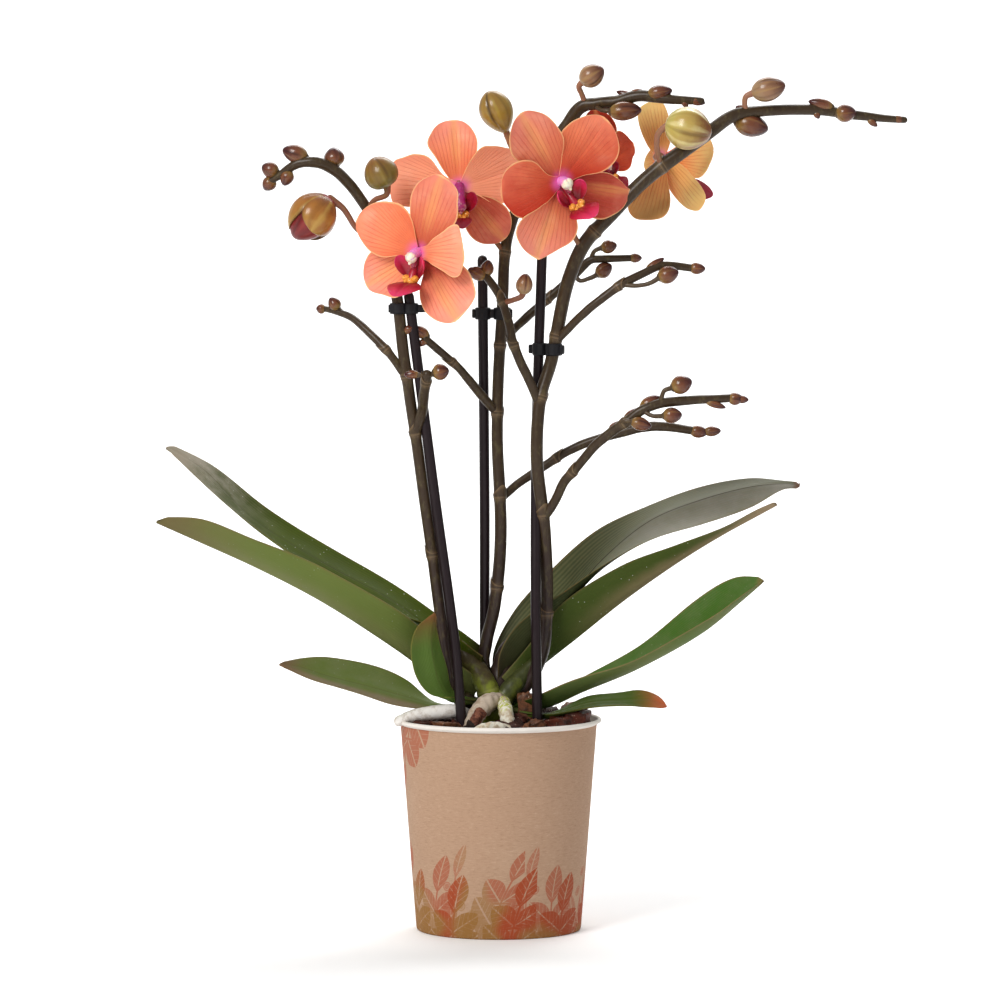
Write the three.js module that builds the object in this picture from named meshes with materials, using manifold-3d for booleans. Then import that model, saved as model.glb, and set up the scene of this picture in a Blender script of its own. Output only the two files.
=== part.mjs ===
// A moth orchid in bloom: three flower spikes on stakes, in a nine centimetre pot with a card sleeve.
// Millimetres, +Z up. The origin is the middle of the pot's underside, on the surface it stands on.
// Seen from the front the view runs along +Y, with +X to the right.
import * as THREE from "three";
import { LoftGeometry } from "three/addons/geometries/LoftGeometry.js";
import { mergeVertices } from "three/addons/utils/BufferGeometryUtils.js";
import Module from "manifold-3d";

const wasm = await Module();
wasm.setup();

// Space left between two pieces that touch.
const GAP = 0.3;
// Points nearer than this are one point.
const MERGE_DISTANCE = 1e-4;
// Slivers thinner than this are tidied away after a cut.
const SLIVER = 0.05;

// Card sleeve: a tapered cup with a folded foot and a rolled lip.
const SLEEVE = {
  footRadius: 38,
  taper: 0.0767,
  lipHeight: 97,
  lipMiddleRadius: 46.5,
  lipRollRadius: 1.5,
  wall: 0.9,
  foldHeight: 5,
  foldInnerRadius: 35.6,
  cornerRadius: 1,
  segments: 32,
};
const BASE_THICKNESS = 1.2;

// Clear grow pot that stands inside the sleeve.
const GROW_POT = {
  floorRadius: 33.5,
  rimRadius: 42.6,
  rimHeight: 91,
  flangeRadius: 43.7,
  flangeThickness: 1,
  wall: 0.8,
  floor: 1.1,
};

// Bark: its domed top, as pairs of radius and height, and the chips that stand up from it,
// each with its middle and its half sizes.
const BARK_TOP = [[43.2, 93], [36, 95.4], [16, 96.8], [0, 97.4]];
const BARK_CHIPS = [
  { at: [11, -3, 99.5], half: [4, 3.2, 6] },
  { at: [6, -22, 96], half: [5, 4, 2.6] },
  { at: [16, -28, 95.5], half: [5, 4, 2.4] },
  { at: [27, -24, 95.6], half: [5.5, 4, 2.6] },
  { at: [36, -12, 95.4], half: [4, 5, 3] },
  { at: [34, 14, 96.6], half: [5, 4, 3.4] },
  { at: [23, 25, 96], half: [5, 4, 3] },
  { at: [-24, -27, 94.6], half: [6, 4, 2.2] },
  { at: [-8, 26, 96], half: [6, 4, 2.8] },
];

// Aerial roots, each a route with its radius at even steps.
const ROOTS = {
  root_left: {
    route: [[-41.5, -7, 100], [-32.5, -12, 101], [-25.5, -13, 102], [-19, -11.5, 102], [-12, -7, 99]],
    radii: [2.9, 3.3, 3.5, 3.2, 2.6],
  },
  root_arch: {
    route: [[-1, -5, 106.5], [-5.5, -12, 105.5], [-9.5, -17, 101.5], [-13, -20, 95]],
    radii: [3.6, 4.2, 4, 3.4],
  },
  root_right: {
    route: [[2.5, -8, 106], [3, -17, 103.5], [4, -20.5, 99], [5, -22, 93]],
    radii: [2.8, 3.2, 3.1, 2.8],
  },
  root_front: {
    route: [[4, -27, 95.5], [-2, -30, 96.6], [-7.5, -32, 96], [-12, -32.5, 93.5]],
    radii: [2.2, 2.6, 2.5, 2],
  },
};

// Short upright stem that the leaves clasp.
const CROWN = {
  route: [[-1.5, 4, 82], [-2.5, 3.5, 98], [-4, 3.5, 110], [-4.8, 4.5, 120], [-5, 5, 127]],
  radii: [5.5, 7.6, 7.4, 6, 3.4],
};

// Leaves, each with three rails from its base to its tip: the two edges and the rib between them.
const LEAVES = {
  leaf_left_back: {
    far: [[-5, 13, 127], [-21.5, 16, 139.5], [-44.5, 22, 154.5], [-76, 28, 173.5], [-110, 30, 194],
      [-134, 27, 213.5], [-152, 21, 223]],
    rib: [[-7.5, 5, 118.5], [-23.5, 7, 128.5], [-48, 9, 149], [-80.5, 13, 167], [-114.5, 17, 188],
      [-137.5, 19, 211], [-154, 18, 221.5]],
    near: [[-7.5, -3, 126.5], [-22.5, -2, 137], [-47.5, -3, 146.5], [-80, -2, 163], [-111, 4, 184.5],
      [-136.5, 9, 205.5], [-152.5, 15, 220]],
  },
  leaf_right_back: {
    far: [[-2, 13, 128], [7, 18, 145.5], [26, 28, 165], [47.5, 36, 183], [70.5, 38, 194],
      [94, 36, 202], [118, 31, 206.5], [132.5, 24, 206], [139, 20, 205.5]],
    rib: [[2.5, 6, 115], [13.5, 8, 129.5], [29.5, 14, 145.5], [49, 21, 168.5], [71, 24, 186.5],
      [93.5, 24, 196], [117.5, 23, 202.5], [132.5, 21.5, 204], [139.5, 19.5, 204]],
    near: [[0.5, -2, 127], [8.5, 0, 140], [28.5, 3, 155], [49.5, 4, 169], [71.5, 8, 179.5],
      [94, 11, 186.5], [117, 14, 194.5], [132, 18, 202], [139, 19, 202.5]],
  },
  leaf_left_long: {
    far: [[-8.5, 12, 114], [-25, 10, 123], [-45.5, 4, 139], [-78.5, -4, 159.5], [-109.5, -8, 174.5],
      [-135, -14, 185.5], [-154, -22, 191]],
    rib: [[-11.5, 4, 107], [-27, 2, 115], [-47.5, -10, 131], [-81, -18, 153.5], [-111, -22, 169.5],
      [-136, -24, 181], [-156, -25, 190]],
    near: [[-9.5, -3, 116.5], [-24, -3, 127], [-44, -20, 148], [-76.5, -32, 167.5], [-107.5, -36, 181.5],
      [-133, -34, 191.5], [-153, -27, 192.5]],
  },
  leaf_right_long: {
    far: [[3.5, 12, 115], [16, 20, 128.5], [33, 24, 147], [56.5, 22, 163.5], [82, 16, 174.5],
      [103, 8, 183.5], [116.5, 4, 192], [128, 1, 197.5]],
    rib: [[6, 5, 110], [19.5, 10, 121], [36.5, 10, 134.5], [58.5, 6, 152.5], [83.5, 2, 170.5],
      [103.5, 0, 183], [117, -1, 190.5], [128, -1, 196.5]],
    near: [[1.5, 0, 116.5], [14.5, 4, 131.5], [30.5, 6, 151], [56, 2, 168], [81, -2, 177],
      [102.5, -3, 186], [116.5, -3, 193], [127.5, -2, 198]],
  },
  leaf_right_mid: {
    far: [[7, 5, 107.5], [20.5, 3, 107], [37.5, 3, 115], [63, -2, 130.5], [91.5, -5, 153],
      [108.5, -10, 163.5], [120, -19, 164.5]],
    rib: [[6, 0, 101.5], [22, -6, 103.5], [38.5, -9, 111], [63.5, -14, 122], [94, -17, 139.5],
      [110.5, -20, 153.5], [121, -21.5, 163]],
    near: [[9, -6, 105.5], [21, -13, 110.5], [38, -18, 118.5], [64.5, -24, 127.5], [93.5, -27, 144.5],
      [110, -27, 156], [120.5, -23, 162.5]],
  },
  leaf_left_low: {
    far: [[-13.5, 5, 103], [-28.5, 4, 104.5], [-43, 2, 115], [-59.5, -2, 123], [-77.5, -10, 126.5],
      [-91, -18, 127], [-99, -25, 126]],
    rib: [[-10.5, 0, 100.5], [-30, -4, 103], [-45.5, -9, 108], [-61, -14, 113], [-78, -19, 118],
      [-91.5, -23, 123], [-100, -27, 125]],
    near: [[-12, -5, 101], [-31, -10, 102], [-44.5, -18, 105], [-60.5, -24, 110], [-78.5, -28, 116],
      [-91, -29, 120.5], [-99, -29, 124]],
  },
  leaf_left_young: {
    far: [[-9, -2, 106.3], [-18, -5.5, 109], [-22, -10, 113], [-24, -13, 123.5], [-27, -15, 133],
      [-28.5, -18, 141.5], [-28.5, -22, 147]],
    rib: [[-10, -5, 105], [-20, -9.5, 106], [-26.5, -15, 112], [-30, -20, 123], [-31.5, -23, 133.5],
      [-31, -25, 143.5], [-29.5, -25.5, 148.5]],
    near: [[-11, -8, 106.3], [-21, -13.5, 108.5], [-31, -20.5, 110.5], [-38, -27, 120], [-40, -31, 132],
      [-37.5, -31, 142], [-31, -27, 148]],
  },
  leaf_right_low: {
    far: [[5, 0, 103.5], [22, -6, 100.5], [42, -8, 108.5], [58, -14, 111.5], [69, -21, 111.5],
      [76, -28, 107.5]],
    rib: [[5, -3, 101], [22, -9.5, 99], [42, -15, 105], [58, -20, 107], [69.5, -25, 108],
      [76.5, -29, 106]],
    near: [[6, -6, 101.5], [22.5, -13, 100], [42.5, -24, 105.5], [58.5, -28, 106], [69.5, -31, 106],
      [76, -31, 105.5]],
  },
};
const LEAF = { ribThickness: 2.2, edgeThickness: 0.9, tipScale: 0.6, belly: 0.05, stepsPerStation: 2 };

// Stakes: plain rods pushed down into the bark.
const STAKE_RADIUS = 2.1;
const STAKES = {
  stake_left: [[-41, -14, 292.5], [-29, -13, 199.5], [-19.5, -15, 128], [-16, -17, 80], [-14, -18, 45]],
  stake_mid: [[-7.5, 9, 310], [-6.5, 12, 197.5], [-6.5, 15, 128], [-6, 16.5, 80], [-6, 17, 45]],
  stake_right: [[20, -2, 316.5], [17.5, -2, 235.5], [17, -4, 199], [17, -10, 153], [18, -15, 80],
    [18.5, -17, 45]],
};

// Flower spikes: the main stem, its side branches, the small buds with a base, a tip and a radius,
// and the short stalks that carry some of them.
const SPIKES = {
  spike_left: {
    stem: {
      route: [[-11, 0, 100], [-17, -3, 104.5], [-21, -6, 113], [-24, -8, 127.5], [-30.5, -10, 174.5],
        [-38, -12, 228.5], [-43, -13.5, 263], [-47, -13.5, 295.5], [-50.5, -12.5, 310],
        [-55, -13, 323.5], [-65.5, -15, 340.5], [-74, -17, 349.5], [-82.5, -18, 353.5],
        [-91.5, -17, 353], [-100, -15, 347.5], [-105.5, -14, 344]],
      radii: [2.3, 2.5, 2.4, 2.4, 2.4, 2.4, 2.4, 2.2, 2.4, 2.3, 1.8, 1.2],
    },
    branches: [
      { route: [[-44, -13.5, 258], [-50, -13, 266.5], [-59, -9, 275.5], [-67.5, -3, 282.5],
        [-76, 2, 285.5], [-81, 5, 286.5]], radii: [1.7, 1.8, 1.5, 1.2] },
      { route: [[-38.5, -12, 229], [-35, -17, 240], [-34, -24, 248], [-32.5, -31, 257.5]],
        radii: [2.1, 2.2, 2.1] },
    ],
    stalks: [
      [[-70, -17, 345], [-73, -15.5, 348.5], [-74.5, -14, 352.5]],
      [[-71, 0, 284], [-73, 1, 286], [-74.5, 1, 287.5]],
      [[-38.5, -30, 257.5], [-32.5, -31, 257], [-27.5, -31, 258.5]],
    ],
    buds: [
      [[-87, -15.5, 355.5], [-98.5, -15, 359.5], 4.1],
      [[-74.5, -14, 351.5], [-75.5, -14, 360.5], 4.6],
      [[-100.5, -13.5, 348.5], [-108, -13, 352], 3.6],
      [[-95, -16, 350], [-98, -16, 343], 3],
      [[-102.5, -13, 346.5], [-107, -12, 341], 3.2],
      [[-79.5, 4.5, 286], [-84, 5, 286.5], 2.2],
      [[-73.5, 1, 286], [-77.5, 1, 291.5], 2.8],
      [[-30, -31, 258], [-22.5, -31, 259.5], 3.7],
      [[-36, -30, 257.5], [-43, -30, 257.5], 1.9],
      [[-43.5, -14, 276], [-38.5, -15, 279], 1.9],
    ],
  },
  spike_mid: {
    stem: {
      route: [[-6, 8, 116], [-7, 9, 124], [-5.5, 9, 133], [-1.5, 9, 151.5], [1, 7, 184], [-0.5, 6, 221],
        [-0.5, 7, 243.5], [2, 9, 294.5], [3, 10, 313], [6, 11, 326], [12.5, 12, 341.5],
        [21.5, 12, 357], [31, 10, 370], [38, 8, 379], [45, 6, 380.5], [54.5, 4, 381.5],
        [64.5, 2, 384], [77, -1, 382.5], [92.5, -3, 381.5]],
      radii: [2.4, 2.5, 2.5, 2.3, 2.3, 2.2, 2.2, 2.6, 2.6, 2.3, 2.1, 1.2],
    },
    branches: [
      { route: [[-0.5, 7, 238.5], [-4, 5, 242], [-11.5, 1, 251], [-18, -3, 259], [-25.5, -7, 266],
        [-33.5, -12, 273]], radii: [1.8, 1.9, 1.6, 1.6] },
      { route: [[1.5, 7.5, 199], [8.5, 11, 205], [20.5, 13, 213], [31.5, 13, 220], [41.5, 12, 224.5],
        [56.5, 10, 229], [66.5, 9, 231.5], [75, 8, 232], [90, 8, 230]],
        radii: [1.6, 1.8, 1.8, 1.9, 2, 1.7] },
      { route: [[1, 8, 271], [8.5, 13, 278], [14.5, 15, 283.5], [28.5, 16, 295.5], [35, 15, 301.5],
        [42.5, 13, 308.5], [47, 12, 309], [61, 10, 309.5]], radii: [1.6, 1.8, 1.8, 1.6, 1.4] },
    ],
    stalks: [
      [[42.5, 13, 308.5], [44, 12, 312.5], [48, 11, 314.5]],
      [[35, 15, 301.5], [37.5, 13, 299], [41.5, 12, 300], [46, 11, 302]],
      [[44, 6, 380], [47, 2, 377.5], [51.5, 0, 377]],
    ],
    buds: [
      [[-32, -11.5, 274], [-39.5, -12, 278.5], 2.6],
      [[-32.5, -12, 272.5], [-37.5, -12, 270], 1.6],
      [[88, 8, 230], [96.5, 8, 229], 2.8],
      [[94.5, 8, 229.5], [102.5, 8, 230], 2.3],
      [[60, 10, 309.5], [66, 10, 309.5], 2.1],
      [[47, 11, 314], [54.5, 11, 315.5], 3],
      [[45, 11, 301.5], [52, 11, 306.5], 3.4],
      [[50.5, 0, 377], [65, 0, 378], 3.9],
      [[62, 5, 383.5], [54, 7, 386], 1.6],
      [[72.5, 1, 382.5], [72, 1, 389.5], 2.9],
      [[78.5, -1, 382.5], [78.5, -1, 388.5], 1.9],
      [[69.5, -2.5, 382], [78, -3, 380.5], 2.1],
      [[84, -2.5, 382], [86.5, -2.5, 378.5], 1.4],
    ],
  },
  spike_right: {
    stem: {
      route: [[6, 4, 103], [11.5, 4, 110.5], [16.5, 2, 119], [20.5, 0, 129], [22, -1, 144.5],
        [22, -2, 164.5], [21, -4, 185], [17.5, -9, 219.5], [19, -8, 245], [24, -6, 262.5],
        [32, -7, 300], [39, -8, 316], [51.5, -9, 330], [69, -9, 347.5], [87.5, -8, 361],
        [98.5, -6, 369], [107.5, -4, 375], [115, -2, 376.5], [130.5, 1, 377.5], [146, 4, 377.5],
        [161.5, 7, 375.5], [174, 9, 374], [186.5, 11, 373]],
      radii: [2.4, 2.6, 2.6, 2.6, 2.5, 2.5, 2.6, 2.5, 2.3, 2, 1.4],
    },
    branches: [
      { route: [[21, -5.5, 191], [25.5, -8, 198], [30, -11, 207.5], [35, -14, 213.5], [44, -18, 224.5],
        [51, -20, 230.5], [58.5, -22, 236], [65.5, -23, 241], [73.5, -23, 244], [88, -22, 245.5],
        [106, -20, 246.3]], radii: [1.9, 2, 1.9, 2, 2, 2, 1.7] },
      { route: [[18.5, -8, 243], [14.5, -11, 253], [10, -13, 262.5], [6.5, -13, 271.5], [4.5, -12, 281],
        [0, -10, 293.5], [-6.5, -9, 302.5]], radii: [1.9, 2, 1.8, 1.7] },
      { route: [[27.5, -7, 273], [35.5, -12, 281.5], [42, -14, 287.5], [49, -15, 293], [56, -15, 298],
        [65, -14, 302.5], [74.5, -13, 306.5], [89, -11, 305.3]], radii: [1.7, 1.8, 1.8, 1.7, 1.6] },
    ],
    stalks: [
      [[73.5, -23, 244], [74.5, -24, 248], [75.5, -24, 250], [79.5, -24, 251.3]],
      [[65.5, -23, 241], [70, -25.5, 238.5], [75.5, -26, 238.5]],
      [[55.5, -21.5, 234], [57, -24, 236], [61, -25, 235.7]],
      [[56, -15, 298], [62.5, -17, 297.5], [68.5, -18, 298.5], [73.5, -18, 301.3]],
      [[106, -4, 374.5], [109.5, 0, 372.6]],
    ],
    buds: [
      [[104.5, -20, 246], [111.5, -20, 246], 2.8],
      [[108, -20, 246], [114, -20, 245.5], 1.8],
      [[78.5, -24, 251], [88, -24, 254.5], 4.1],
      [[64.5, -21, 241.5], [73.5, -20, 247], 3],
      [[57, -20.5, 235.5], [64.5, -19, 241.5], 2.4],
      [[50.5, -19, 230], [55.5, -17, 235.5], 2.3],
      [[74.5, -26, 238.5], [83.5, -26, 239], 3.5],
      [[60, -25, 236], [69.5, -25, 233.5], 3],
      [[94, -21.5, 245], [103.5, -22, 242], 1.6],
      [[-6, -9.5, 301], [-14, -10, 305], 3],
      [[-6, -8.5, 301.5], [-4.5, -8, 309], 3],
      [[87, -11, 305.4], [94.5, -11, 305], 2.6],
      [[72.5, -18, 301], [82, -18, 304], 3.9],
      [[67, -13, 304], [75.5, -12, 310], 1.9],
      [[108.5, 0, 373], [123, 0, 369.5], 4.1],
      [[113.5, -1, 376.5], [108.5, 0, 379], 1.6],
      [[151, 4.5, 378.5], [142.5, 4, 382], 1.6],
      [[155.5, 4.5, 375.5], [164, 4, 376.5], 3.7],
      [[145, 3.5, 377], [147, 3, 373.5], 1.5],
      [[169.5, 8, 373.5], [174, 8, 370], 1.5],
      [[178, 9.5, 373.5], [180.5, 10, 376], 1.4],
    ],
  },
};
const STALK_RADIUS = 1.1;

// Plastic clips: where each one holds its stake and its spike, and the half length of its bar.
const CLIPS = {
  clip_left: { stake: [-40.3, -14, 287], spike: [-45.8, -13.8, 287], tabs: [4, 8.5], height: 5 },
  clip_mid: { stake: [-7.3, 9.4, 284], spike: [1.6, 8.6, 284], tabs: [5, 3], height: 5.6 },
  clip_right: { stake: [19, -2, 268], spike: [25.2, -6.1, 268], tabs: [6, 4.5], height: 5.6 },
};
const CLIP = { wall: 1.3, barDepth: 3, sides: 10 };

// Flowers: the hub where all parts meet, the way the flower faces, the way its lip points, the tips
// of its three sepals and two petals, the widths of dorsal sepal, side sepals and petals, and the
// stalk's route from the spike.
const FLOWERS = {
  flower_1: {
    hub: [-36, -32, 313],
    facing: [-0.48, -0.86, -0.08],
    lip: [-0.28, 0, -0.96],
    sepals: [[-26, -46.5, 348], [-62.5, -12, 298.5], [-19, -46, 282.5]],
    petals: [[-65, -20.5, 327], [-15.5, -59, 311]],
    widths: [21, 21, 26],
    stalk: [[-47.5, -13, 298], [-45, -17, 304], [-40, -22, 311], [-36.5, -30, 313]],
    lipScale: 1,
  },
  flower_2: {
    hub: [-18, -9, 342.5],
    facing: [0.08, -0.97, -0.2],
    lip: [0.02, 0, -1],
    sepals: [[-20.5, 7.5, 373], [-36, 10, 318.5], [2.5, 5.5, 318]],
    petals: [[-50, -0.5, 345.5], [10, 5, 352]],
    widths: [22, 21, 26],
    stalk: [[2.5, 9.5, 312], [-4, 8, 321], [-12, 4, 333], [-17.5, -7, 342]],
    lipScale: 1,
  },
  flower_3: {
    hub: [28, -30, 345],
    facing: [0.4, -0.91, -0.1],
    lip: [0.56, 0, -0.83],
    sepals: [[10, -45, 376], [17.5, -41, 310], [60, -12, 341]],
    petals: [[1, -48, 339.5], [48.5, -22, 373.5]],
    widths: [25, 21, 27],
    stalk: [[38, -8, 314], [33.5, -12, 322], [29, -20, 334], [28, -28, 344]],
    lipScale: 1,
  },
  flower_4: {
    hub: [48, 16, 353],
    facing: [0.55, -0.83, -0.1],
    lip: [0.2, 0, -0.98],
    sepals: [[44.5, 20, 378], [40.5, 14, 334], [51.5, 22, 335]],
    petals: [[34, 17, 358], [62.5, 27, 361.5]],
    widths: [16, 14, 20],
    stalk: [[31, 10, 370], [36, 18, 366], [43, 20, 358], [47.5, 17.5, 353.5]],
    lipScale: 0.8,
  },
  flower_5: {
    hub: [76, 22, 355.5],
    facing: [0.82, 0.56, -0.1],
    lip: [0.12, 0, -1],
    sepals: [[70, 27, 381.5], [65.5, 8, 327], [91, 8, 332]],
    petals: [[60, 38, 351], [98.5, 4, 359]],
    widths: [19, 18, 25],
    stalk: [[67.5, -9, 346], [66, 2, 350], [69, 14, 354], [75, 21, 355.3]],
    lipScale: 1,
  },
};

// Outlines along a sepal, a petal and the lip's lobes, as shares of the full width at even steps.
const OUTLINES = {
  sepal: [0.34, 0.64, 0.9, 1, 0.94, 0.7, 0.12],
  petal: [0.26, 0.76, 0.98, 1, 0.9, 0.64, 0.12],
  midLobe: [0.45, 0.9, 0.98, 0.6, 0.3, 0.1],
  sideLobe: [0.5, 0.85, 1, 0.9, 0.6, 0.15],
};
const TEPAL_THICKNESS = 1;

// Large buds: base, tip and radius of the bud, and the route of its stalk from the spike.
const LARGE_BUDS = {
  bud_half_open: {
    bud: [[-75, -26.5, 337.5], [-90.5, -29, 319.5], 10.6],
    stalk: [[-51.5, -12.8, 314], [-58, -15, 318], [-65, -19, 324], [-70.5, -23, 332.5], [-75.5, -26.5, 337]],
  },
  bud_green_left: {
    bud: [[-50.5, -21, 342], [-57.5, -22, 355.5], 7.2],
    stalk: [[-59.5, -14, 332], [-56.5, -18, 336.5], [-51, -21, 339], [-50.7, -21, 343]],
  },
  bud_green_top: {
    bud: [[3.5, 8, 367], [-5, 4, 386], 7.8],
    stalk: [[14, 12, 345], [10, 14, 353], [5.5, 10, 361.5], [3, 8, 369]],
  },
  bud_yellow_right: {
    bud: [[75.5, -22, 374], [98, -21.5, 369.5], 9.8],
    stalk: [[74, -9, 352], [72, -16, 361], [73, -20.5, 368.5], [77.5, -22, 373.5]],
  },
  bud_brown_top: {
    bud: [[37.5, 2, 390], [48, 0, 396.5], 5.4],
    stalk: [[40, 7.5, 380], [38, 5, 385], [36.8, 3, 388.3], [39.5, 1.5, 391.3]],
  },
  bud_brown_right: {
    bud: [[115.5, -5, 385], [131, -6, 389], 5.7],
    stalk: [[113.5, -2.5, 376], [112.5, -4, 380], [113, -5, 383.5], [117.5, -5.2, 385.6]],
  },
  bud_brown_mid: {
    bud: [[11, -14, 293.3], [12.5, -14, 303], 4],
    stalk: [[2, -10.5, 289.5], [7, -13.5, 291], [10.5, -14, 292.6], [11.2, -14, 295]],
  },
};

// Finishes: colour, roughness and metalness of each kind of piece.
const FINISHES = {
  card: [0xb98f6a, 0.85, 0],
  cardInside: [0xe8e4da, 0.8, 0],
  clearPlastic: [0xcfd2cc, 0.3, 0],
  bark: [0x4a2c22, 0.9, 0],
  root: [0xc9c3b4, 0.8, 0],
  crown: [0x7f8f3a, 0.5, 0],
  leaf: [0x5f7a36, 0.45, 0],
  stem: [0x4b4029, 0.45, 0],
  stake: [0x2c2429, 0.35, 0],
  clip: [0x17181a, 0.4, 0],
  petal: [0xf08c66, 0.6, 0],
  lip: [0xb81450, 0.45, 0],
  column: [0xf2dfe2, 0.4, 0],
  bud: [0xa59a45, 0.45, 0],
};

function vec(point) {
  return new THREE.Vector3(point[0], point[1], point[2]);
}

// A value read off an even list at a share t of its length.
function evenAt(list, t) {
  const place = t * (list.length - 1);
  const low = Math.min(Math.floor(place), list.length - 2);
  return THREE.MathUtils.lerp(list[low], list[low + 1], place - low);
}

function signedVolume(positions, triangles) {
  let sum = 0;
  for (let i = 0; i < triangles.length; i += 3) {
    const [a, b, c] = [0, 1, 2].map((k) => new THREE.Vector3().fromArray(positions, 3 * triangles[i + k]));
    sum += a.dot(b.cross(c));
  }
  return sum / 6;
}

// The closed solid of a geometry, with shared points merged and its faces pointing out.
function solidFrom(geometry) {
  const bare = new THREE.BufferGeometry();
  bare.setAttribute("position", geometry.attributes.position);
  bare.setIndex(geometry.index);
  const merged = mergeVertices(bare, MERGE_DISTANCE);
  const positions = new Float32Array(merged.attributes.position.array);
  const triangles = [];
  for (let i = 0; i < merged.index.count; i += 3) {
    const [a, b, c] = [0, 1, 2].map((k) => merged.index.getX(i + k));
    if (a !== b && b !== c && c !== a) triangles.push(a, b, c);
  }
  if (signedVolume(positions, triangles) < 0) triangles.reverse();
  return new wasm.Manifold(new wasm.Mesh({
    numProp: 3,
    vertProperties: positions,
    triVerts: new Uint32Array(triangles),
  }));
}

function geometryFrom(solid) {
  const mesh = solid.getMesh();
  const geometry = new THREE.BufferGeometry();
  geometry.setAttribute("position", new THREE.BufferAttribute(mesh.vertProperties.slice(), 3));
  geometry.setIndex(new THREE.BufferAttribute(mesh.triVerts.slice(), 1));
  return geometry;
}

function joined(solids) {
  return solids.reduce((sum, solid) => sum.add(solid));
}

// The way a ring of points faces, longer for a larger ring.
function ringFacing(ring) {
  return ring.reduce((sum, point, i) => sum.add(point.clone().cross(ring[(i + 1) % ring.length])),
    new THREE.Vector3());
}

function ringMiddle(ring) {
  return ring.reduce((sum, point) => sum.add(point), new THREE.Vector3()).divideScalar(ring.length);
}

// A skin over rings of points, which all have to face towards the last ring.
function lofted(rings) {
  const onwards = ringMiddle(rings[1]).sub(ringMiddle(rings[0]));
  const sections = ringFacing(rings[0]).dot(onwards) > 0 ? rings : rings.map((ring) => [...ring].reverse());
  return solidFrom(new LoftGeometry(sections, { closed: true, capStart: true, capEnd: true }));
}

function turned(profile, segments) {
  return solidFrom(new THREE.LatheGeometry(profile.map(([r, z]) => new THREE.Vector2(r, z)), segments)
    .rotateX(Math.PI / 2));
}

// A rod along a route, with its radius given at even steps and each end lengthened by grow.
function rod(route, radii, sides, grow) {
  const curve = new THREE.CatmullRomCurve3(route.map(vec), false, "centripetal");
  const steps = (route.length - 1) * (route.length > 6 ? 1 : 2);
  const sideways = new THREE.Vector3(0, -1, 0);
  const sections = [];
  for (let i = 0; i <= steps; i++) {
    const along = curve.getTangent(i / steps);
    const middle = curve.getPoint(i / steps);
    if (i === 0) middle.addScaledVector(along, -grow);
    if (i === steps) middle.addScaledVector(along, grow);
    sideways.addScaledVector(along, -sideways.dot(along)).normalize();
    const third = along.clone().cross(sideways);
    const radius = evenAt(radii, i / steps) + grow;
    sections.push(Array.from({ length: sides }, (_, k) => {
      const angle = (2 * Math.PI * k) / sides;
      return middle.clone()
        .addScaledVector(sideways, radius * Math.cos(angle))
        .addScaledVector(third, radius * Math.sin(angle));
    }));
  }
  return lofted(sections);
}

// A bud: a turned drop that runs from its base to its tip.
function drop(base, tip, radius, sides, grow) {
  const axis = vec(tip).sub(vec(base));
  const length = axis.length();
  const profile = [[0, 0], [0.7, 0.14], [1, 0.45], [0.7, 0.82], [0, 1]]
    .map(([r, h], i, all) => new THREE.Vector2(
      r === 0 ? 0 : r * radius + grow,
      i === 0 ? -grow : h * length + (i === all.length - 1 ? grow : 0),
    ));
  const geometry = new THREE.LatheGeometry(profile, sides);
  const turn = new THREE.Quaternion().setFromUnitVectors(new THREE.Vector3(0, 1, 0), axis.normalize());
  geometry.applyQuaternion(turn);
  geometry.translate(base[0], base[1], base[2]);
  return solidFrom(geometry);
}

// One ring of points round a thin blade, from its upper face's points and the depths under them.
// A blade's faces slant across the way down, so they move further than grow to leave room for it.
const SLANT = 1.5;

function bladeRing(upper, depths, down, grow) {
  const faceUp = upper.map((point) => point.clone().addScaledVector(down, -SLANT * grow));
  const faceDown = upper.map((point, i) => point.clone().addScaledVector(down, depths[i] + SLANT * grow));
  return [...faceUp, ...faceDown.reverse()];
}

// Places across a leaf and across a petal, as shares of the half width.
const LEAF_ACROSS = [-1, -0.5, 0, 0.5, 1];
const PETAL_ACROSS = [-1, -0.4, 0.4, 1];

// A leaf whose underside follows its three rails.
function leaf(rails, grow) {
  const curves = [rails.far, rails.rib, rails.near]
    .map((rail) => new THREE.CatmullRomCurve3(rail.map(vec), false, "centripetal"));
  const steps = (rails.rib.length - 1) * LEAF.stepsPerStation;
  const sections = [];
  let lastDown = vec(rails.rib[0]).multiplyScalar(2).sub(vec(rails.far[0])).sub(vec(rails.near[0]));
  for (let i = 0; i <= steps; i++) {
    const t = i / steps;
    const [far, rib, near] = curves.map((curve) => curve.getPoint(t));
    const along = curves[1].getTangent(t);
    if (i === 0 || i === steps) {
      for (const edge of [far, near]) edge.addScaledVector(along, rib.clone().sub(edge).dot(along));
    }
    const across = near.clone().sub(far).normalize();
    const down = across.clone().cross(along).normalize();
    if (down.dot(lastDown) < 0) down.negate();
    lastDown = down;
    const shift = along.clone().multiplyScalar(i === 0 ? -grow : i === steps ? grow : 0);
    const scale = THREE.MathUtils.lerp(1, LEAF.tipScale, t);
    const depths = LEAF_ACROSS.map((s) => scale
      * THREE.MathUtils.lerp(LEAF.ribThickness, LEAF.edgeThickness, Math.abs(s)));
    const upper = LEAF_ACROSS.map((s, k) => {
      const edge = s < 0 ? far : near;
      const half = edge.distanceTo(rib);
      const share = Math.abs(s) * (1 + grow / Math.max(half, 1));
      const sag = LEAF.belly * half * 4 * Math.abs(s) * (1 - Math.abs(s));
      return rib.clone().lerp(edge, share).addScaledVector(down, sag - depths[k]).add(shift);
    });
    sections.push(bladeRing(upper, depths, down, grow));
  }
  return lofted(sections);
}

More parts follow.
